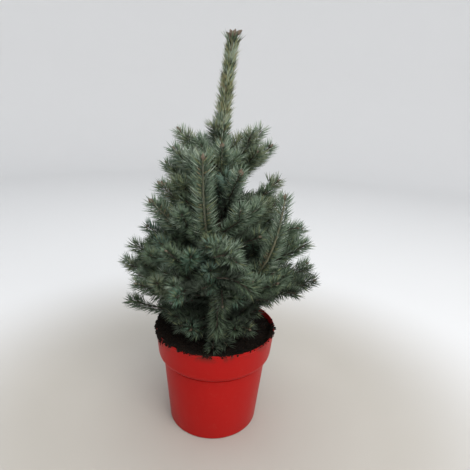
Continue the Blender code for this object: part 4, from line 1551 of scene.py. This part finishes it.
def keep_clear(roots, ways, late, size):
    """Tell which needles stay in the box, out of the hollows, the pot, soil and trunk."""
    tips = roots + (ways * WAIST_PLACE + late * (1 - WAIST_PLACE)) * size[:, None]
    low, high = (np.array(corner) for corner in CAD_BOX)
    kept = np.all((tips > low - BOX_REACH) & (tips < high + BOX_REACH), axis=1)
    kept &= ~in_eggs(tips, HOLLOWS) & ~in_eggs(roots, HOLLOWS)
    flat = np.hypot(tips[:, 0], tips[:, 1])
    over_rim = (flat < RIM_RADIUS + BOTTOM_CLEAR) & (tips[:, 2] < POT_HEIGHT + BOTTOM_CLEAR)
    over_soil = flat < RIM_RADIUS - POT_WALL - BOTTOM_CLEAR
    in_soil = tips[:, 2] < SOIL_TOP + SOIL_HEAP + BOTTOM_CLEAR
    bark = np.array([trunk_radius(z) for z in roots[:, 2]]) + BARK_CLEAR
    out_of_trunk = np.hypot(roots[:, 0], roots[:, 1]) > bark
    return kept & ~(over_rim & (~over_soil | in_soil)) & out_of_trunk


def needle_batches():
    """Return arrays of needles, and the boughs they belong to, a piece at a time."""
    dice = np.random.default_rng(NEEDLE_SEED)
    batches, points, tints, owners, total = [], [], [], [], 0
    for name in BOUGHS:
        for stem in [stem for stem in stems if stem.owner == name]:
            needles = stem_needles(stem, DENSITY[stem.order], dice)
            kept = keep_clear(*needles)
            if not kept.any():
                continue
            roots, ways, late, size = (part[kept] for part in needles)
            widths = dice.uniform(*WIDTH_VARIES, len(roots))
            points.append(needle_points(roots, ways, late, size, widths))
            tints.append(needle_tints(spray_tint(stem, dice), roots, size, dice))
            total += len(roots)
        owners.append(name)
        if total > FULL_PIECE or name == list(BOUGHS)[-1]:
            batches.append((np.concatenate(points), np.concatenate(tints), owners))
            points, tints, owners, total = [], [], [], 0
    return batches


for number, (points, tints, owners) in enumerate(needle_batches(), 1):
    mesh = mesh_from_arrays(f"needles_{number}", points, NEEDLE_FACES, tints, smooth=False)
    add_piece(f"needles_{number}", mesh, needle_finishes, owners)

# %% [markdown]
# The leader
# The bare shoot at the top is last summer's growth. Its needles lie close to the stem
# and point up, and at the tip longer, darker ones flare round a cluster of brown buds.
# It is dressed in sleeves, each a stretch of the leader with needles of one kind.

# %% Leader needles
Sleeve = namedtuple("Sleeve", "start end density leans length tint width", defaults=(1.0,))
LEADER_SLEEVES = (
    Sleeve(0.440, 0.535, 6000, (48, 44), 0.0195, "sea_green"),
    Sleeve(0.512, LEADER_END - 0.006, 7000, (22, 22), 0.0150, "leader_olive"),
    Sleeve(0.512, 0.592, 6000, (42, 38), 0.0185, "leader_olive"),
    Sleeve(0.588, LEADER_END - 0.006, 5500, (34, 34), 0.0175, "leader_olive"),
    Sleeve(0.636, LEADER_END - 0.006, 2300, (42, 54), 0.0250, "dark_and_painted_shade", width=1.3),
    Sleeve(0.632, LEADER_END - 0.011, 2800, (30, 44), 0.0165, "leader_olive"),
)
LEADER_SEED = 3
LEADER_VARIES = 10.0
SKIN_SHARE = 0.7
PATCHES_PER_METRE = 120
PATCH_STRENGTH = 0.7
DARK_STRENGTH = 0.5
SILVER_TO = 0.26
GREEN_FROM = 0.72
DARK_FROM = 0.90
STRAW_SHARE = 0.06


def leader_stem(start, end):
    middle = trunk_point((start + end) / 2) * 2 - (trunk_point(start) + trunk_point(end)) / 2
    return Stem((trunk_point(start), middle, trunk_point(end)), 0.0, "leader", 0, 0.5)


def leader_tints(tint, roots, dice):
    """Deal a sleeve's tint to its needles, and silver, green and dark ones in patches."""
    tints = np.full(len(roots), TINTS[tint])
    patch = np.array([noise.noise(Vector(root) * PATCHES_PER_METRE) for root in roots])
    throw = dice.random(len(roots))
    tints[throw < SILVER_TO + PATCH_STRENGTH * patch] = TINTS["silver"]
    tints[throw > GREEN_FROM + PATCH_STRENGTH * patch] = TINTS["green"]
    tints[throw > DARK_FROM + DARK_STRENGTH * patch] = TINTS["dark_and_painted_shade"]
    tints[dice.random(len(roots)) < STRAW_SHARE] = TINTS["straw"]
    return tints


def make_leader_needles():
    """Cover the leader with needles that hug it, and flare the last ones."""
    dice = np.random.default_rng(LEADER_SEED)
    parts, tints = [], []
    for sleeve in LEADER_SLEEVES:
        roots, ways, late, size = stem_needles(
            leader_stem(sleeve.start, sleeve.end), sleeve.density, dice, sleeve.leans,
            sleeve.length, bend=0.0, varies=LEADER_VARIES)
        centres = np.array([trunk_point(z) for z in roots[:, 2]])
        skins = np.array([trunk_radius(z) for z in roots[:, 2]]) * SKIN_SHARE
        outward = (roots - centres) * np.array([1.0, 1.0, 0.0])
        roots = roots + unit(outward) * skins[:, None]
        widths = dice.uniform(*WIDTH_VARIES, len(roots)) * sleeve.width
        parts.append(needle_points(roots, ways, late, size, widths))
        tints.append(leader_tints(sleeve.tint, roots, dice))
    return mesh_from_arrays(
        "leader_needles", np.concatenate(parts), NEEDLE_FACES, np.concatenate(tints), smooth=False)


add_piece("needles_leader", make_leader_needles(), needle_finishes, ["leader_needles"])

# %% [markdown]
# Trunk, boughs and twigs
# The young trunk has thin brown bark with fine cracks. Every stem is a tapering tube.
# The trunk gets many more sides, and noise pushes its points in and out into ridges,
# with a flare at the foot. The stems of the parted shoots show between their needles.
# They are last summer's wood, smooth and yellowish, so they have a finish of their
# own, and the one at the front right is the palest.

# %% Tubes
BARK_SIDES = 40
BARK_RINGS = 190
BARK_DEPTH = 0.004
RINGS_CLOSE_BELOW = 1.2
FLARE = 0.10
FLARE_TOP = 0.187
FLARE_HEIGHT = 0.014
FLARE_ROOTS = 5
RIDGE_DEPTH = 0.07
RIDGES_ROUND = 3
RIDGES_PER_METRE = 90
FINE_RIDGES = 0.6
FINER = 2.7
NEARLY_UPRIGHT = 0.9
STEM_SIDES = 6
STEM_STEP = 0.012
STEM_HIDDEN = 0.3
BOUGH_FOOT = 0.0016
BOUGH_THICKENS = 0.009
STEM_FEET = {1: 0.00125, 2: 0.0010, 3: 0.0012}
STEM_TIP = 0.0008
STEM_TAPER = 0.6
PARTED_TIP = 0.0012
PALEST_SHOOT = "right_front_upright"


def tube(bm, points, radii, sides):
    """Loft a closed tube through points, and return its faces."""
    rings = []
    side = None
    for i, (point, radius) in enumerate(zip(points, radii)):
        ahead = (points[min(i + 1, len(points) - 1)] - points[max(i - 1, 0)]).normalized()
        if side is None:
            side = ahead.cross(UP if abs(ahead.z) < NEARLY_UPRIGHT else Vector((1.0, 0.0, 0.0)))
        side = (side - ahead * side.dot(ahead)).normalized()
        other = ahead.cross(side)
        rings.append([
            bm.verts.new(point + radius * (side * math.cos(a) + other * math.sin(a)))
            for a in (math.tau * k / sides for k in range(sides))])
    faces = [bm.faces.new(rings[0][::-1]), bm.faces.new(rings[-1])]
    for low, high in zip(rings, rings[1:]):
        for k in range(sides):
            n = (k + 1) % sides
            faces.append(bm.faces.new((low[k], low[n], high[n], high[k])))
    return faces


def carve_bark(bm):
    """Push the trunk's points in and out into ridges, and spread its foot."""
    for vert in bm.verts:
        centre = trunk_point(vert.co.z)
        out = vert.co - centre
        turn = math.atan2(out.y, out.x)
        rise = max(0.0, (FLARE_TOP - vert.co.z) / FLARE_HEIGHT)
        flare = FLARE * rise * math.cos(FLARE_ROOTS * turn)
        around = (math.cos(turn) * RIDGES_ROUND, math.sin(turn) * RIDGES_ROUND)
        spot = Vector((*around, vert.co.z * RIDGES_PER_METRE))
        ridges = noise.noise(spot) + FINE_RIDGES * noise.noise(spot * FINER)
        vert.co = centre + out * (1 + flare + RIDGE_DEPTH * ridges)


def add_stem(bm, stem):
    """Add one stem as a slim tube, in bark or in one of the two pale finishes."""
    length = (stem.curve[2] - stem.curve[0]).length
    count = max(3, round(length / STEM_STEP))
    start = stem.start * STEM_HIDDEN
    ends = [start + (1 - start) * k / count for k in range(count + 1)]
    foot = STEM_FEET.get(stem.order, BOUGH_FOOT + BOUGH_THICKENS * length)
    pale = stem.owner in PARTED and stem.order == 0
    tip = PARTED_TIP if pale else STEM_TIP
    radii = [foot + (tip - foot) * t ** STEM_TAPER for t in ends]
    for face in tube(bm, [on_curve(stem.curve, t) for t in ends], radii, STEM_SIDES):
        face.material_index = int(pale) + int(pale and stem.owner == PALEST_SHOOT)


def make_wood_mesh():
    """Build the trunk with its relief, and every stem as a slim tube."""
    bm = bmesh.new()
    rise = LEADER_END - SOIL_TOP + BARK_DEPTH
    heights = [SOIL_TOP - BARK_DEPTH + rise * (k / BARK_RINGS) ** RINGS_CLOSE_BELOW
               for k in range(BARK_RINGS + 1)]
    tube(bm, [trunk_point(z) for z in heights], [trunk_radius(z) for z in heights], BARK_SIDES)
    carve_bark(bm)
    for stem in stems:
        add_stem(bm, stem)
    return mesh_from_bmesh(bm, "bark")


# %% Bark and shoots


def bark_finish():
    """Dark brown bark with darker cracks along the grain."""
    bark = Finish("young_bark", (0.16, 0.095, 0.050), 0.85)
    grain = bark.noise(130.0, 4.0, 0.6, (1.0, 1.0, 0.25))
    cracks = bark.ramp(bark.noise(310.0, 3.0, 0.6, (1.0, 1.0, 0.4)), (0.42, 0.0), (0.60, 1.0))
    color = bark.mix(grain, (0.034, 0.024, 0.016), (0.095, 0.068, 0.042))
    bark.set("Base Color", bark.mix(cracks, (0.026, 0.017, 0.011), color))
    bark.set("Roughness", 0.72 + 0.2 * grain)
    bark.bump(cracks * 0.6 + grain * 0.4, 0.0008)
    return bark


def twig_finish(name, dark, light):
    """The yellowish brown of a young shoot, with the stubs of its needles."""
    twig = Finish(name, light, 0.7)
    stubs = twig.noise(420.0, 2.0)
    twig.set("Base Color", twig.mix(stubs, dark, light))
    twig.set("Roughness", 0.60 + 0.25 * stubs)
    twig.bump(stubs, 0.0006)
    return twig


limbs = [f"bough_{name}" for name, bough in BOUGHS.items() if has_limb(bough)]
wood_finishes = [
    bark_finish(),
    twig_finish("pale_twig", (0.050, 0.054, 0.034), (0.120, 0.124, 0.078)),
    twig_finish("palest_twig", (0.120, 0.120, 0.070), (0.235, 0.225, 0.140)),
]
add_piece("wood", make_wood_mesh(), wood_finishes, ["trunk", *limbs])

# %% [markdown]
# Buds
# A shoot that has stopped growing ends in a brown bud, often with one or two smaller
# ones beside it. A few tips that show well have six, and the leader ends in a whole
# cluster. A bud is an egg of overlapping scales. At this size a few rings of five
# points each are enough, with a step in each ring for a row of scales.

# %% Bud shape
BUD_RINGS = (
    (0.0, 0.50), (0.16, 0.86), (0.30, 1.0), (0.34, 0.90), (0.58, 0.82), (0.63, 0.68), (0.86, 0.40),
)
BUD_SIDES = 5


def bud_pattern():
    """Return a bud of length and width 1 along Z: its points and faces."""
    points = []
    for k, (height, width) in enumerate(BUD_RINGS):
        for side in range(BUD_SIDES):
            turn = math.tau * (side + 0.5 * (k // 2 % 2)) / BUD_SIDES
            points.append((width * math.cos(turn), width * math.sin(turn), height))
    points.append((0.0, 0.0, 1.0))
    faces = []
    for k in range(len(BUD_RINGS) - 1):
        for side in range(BUD_SIDES):
            n = (side + 1) % BUD_SIDES
            low, high = k * BUD_SIDES, (k + 1) * BUD_SIDES
            faces.append([low + side, low + n, high + n, high + side])
    last = (len(BUD_RINGS) - 1) * BUD_SIDES
    for side in range(BUD_SIDES):
        faces.append([last + side, last + (side + 1) % BUD_SIDES, len(points) - 1])
    return np.array(points), faces


print("one bud has", len(bud_pattern()[1]), "faces")

# %% Places of the buds
Bud = namedtuple("Bud", "place way length")
BUD_SEED = 14
BUD_SHARES = (0.6, 0.15, 0.03, 0.0)
BUD_LENGTHS = (0.0062, 0.0054, 0.0045)
BUD_VARIES = (0.8, 1.15)
BUD_WIDTH = 0.32
SECOND_BUD = 0.6
THIRD_BUD = 0.5
SIDE_BUD_SIZE = 0.72
SIDE_BUD_LEAN = 0.45
SIDE_BUD_OUT = 0.0016
SHOWN_BUDS = (*PARTED, "front_high", "upper_left", "upper_right_side")
SHOWN_COUNT = 6
SHOWN_SIZE = 1.6
SHOWN_LEAN = 0.6
LEADER_BUDS = 18
LEADER_BUD_LEANS = (0.4, 1.9)
LEADER_BUD_RISES = (0.0, 0.0045)
LEADER_BUD_LENGTHS = (0.0080, 0.0108)
LEADER_BUD_RING = 0.0012
LEADER_RING_STEP = 0.0018
LEADER_TIP = 0.05


def tip_buds(stem, shown, dice):
    """Return the buds on the tip of one stem, the first of them straight ahead."""
    tip = np.array(stem.curve[2])
    ahead = np.array(along_curve(stem.curve, 1.0))
    size = BUD_LENGTHS[stem.order] * dice.uniform(*BUD_VARIES) * (SHOWN_SIZE if shown else 1.0)
    beside = (dice.random() < SECOND_BUD) + (dice.random() < THIRD_BUD)
    lean = SHOWN_LEAN if shown else SIDE_BUD_LEAN
    buds = []
    for k in range(SHOWN_COUNT if shown else 1 + beside):
        way = unit(ahead + dice.normal(0, 1, 3) * (lean if k else 0.0))
        place = tip + (way - ahead) * SIDE_BUD_OUT
        buds.append(Bud(place, way, size * (SIDE_BUD_SIZE if k else 1.0)))
    return buds


def leader_buds(dice):
    """Return the cluster of buds that crowns the leader."""
    top = np.array(trunk_point(LEADER_END))
    ahead = unit(top - np.array(trunk_point(LEADER_END - LEADER_TIP)))
    buds = []
    for k in range(LEADER_BUDS):
        out = np.array([math.cos(k * GOLDEN), math.sin(k * GOLDEN), 0.0])
        lean = dice.uniform(*LEADER_BUD_LEANS) if k else 0.0
        ring = LEADER_BUD_RING + LEADER_RING_STEP * (k % 3)
        place = top + out * ring + ahead * dice.uniform(*LEADER_BUD_RISES)
        buds.append(Bud(place, unit(ahead + out * lean), dice.uniform(*LEADER_BUD_LENGTHS)))
    return buds


def make_buds_mesh():
    """Put buds on the tips of many stems, and a cluster on the leader."""
    dice = np.random.default_rng(BUD_SEED)
    buds = []
    for stem in stems:
        shown = stem.owner in SHOWN_BUDS and stem.order == 0
        if dice.random() <= BUD_SHARES[stem.order] or shown:
            buds += tip_buds(stem, shown, dice)
    buds += leader_buds(dice)
    places, ways, lengths = (np.array(part) for part in zip(*buds))
    sides = unit(np.cross(ways, OFF_AXIS))
    others = np.cross(ways, sides)
    pattern, faces = bud_pattern()
    widths = lengths * BUD_WIDTH
    local = pattern[None] * np.stack([widths, widths, lengths], -1)[:, None, :]
    points = (local[..., 0:1] * sides[:, None] + local[..., 1:2] * others[:, None]
              + local[..., 2:3] * ways[:, None] + places[:, None])
    return mesh_from_arrays("buds", points, faces)


# %% Bud scales


def bud_finish():
    """Brown, resinous scales with a soft gloss."""
    bud = Finish("bud_scales_finish", (0.30, 0.16, 0.065), 0.5)
    tone = bud.noise(240.0, 3.0)
    bud.set("Base Color", bud.mix(tone, (0.036, 0.026, 0.018), (0.20, 0.145, 0.095)))
    bud.set("Roughness", 0.40 + 0.3 * tone)
    bud.bump(bud.noise(900.0, 2.0), 0.0004)
    return bud


add_piece("buds", make_buds_mesh(), [bud_finish()], ["leader_buds"])
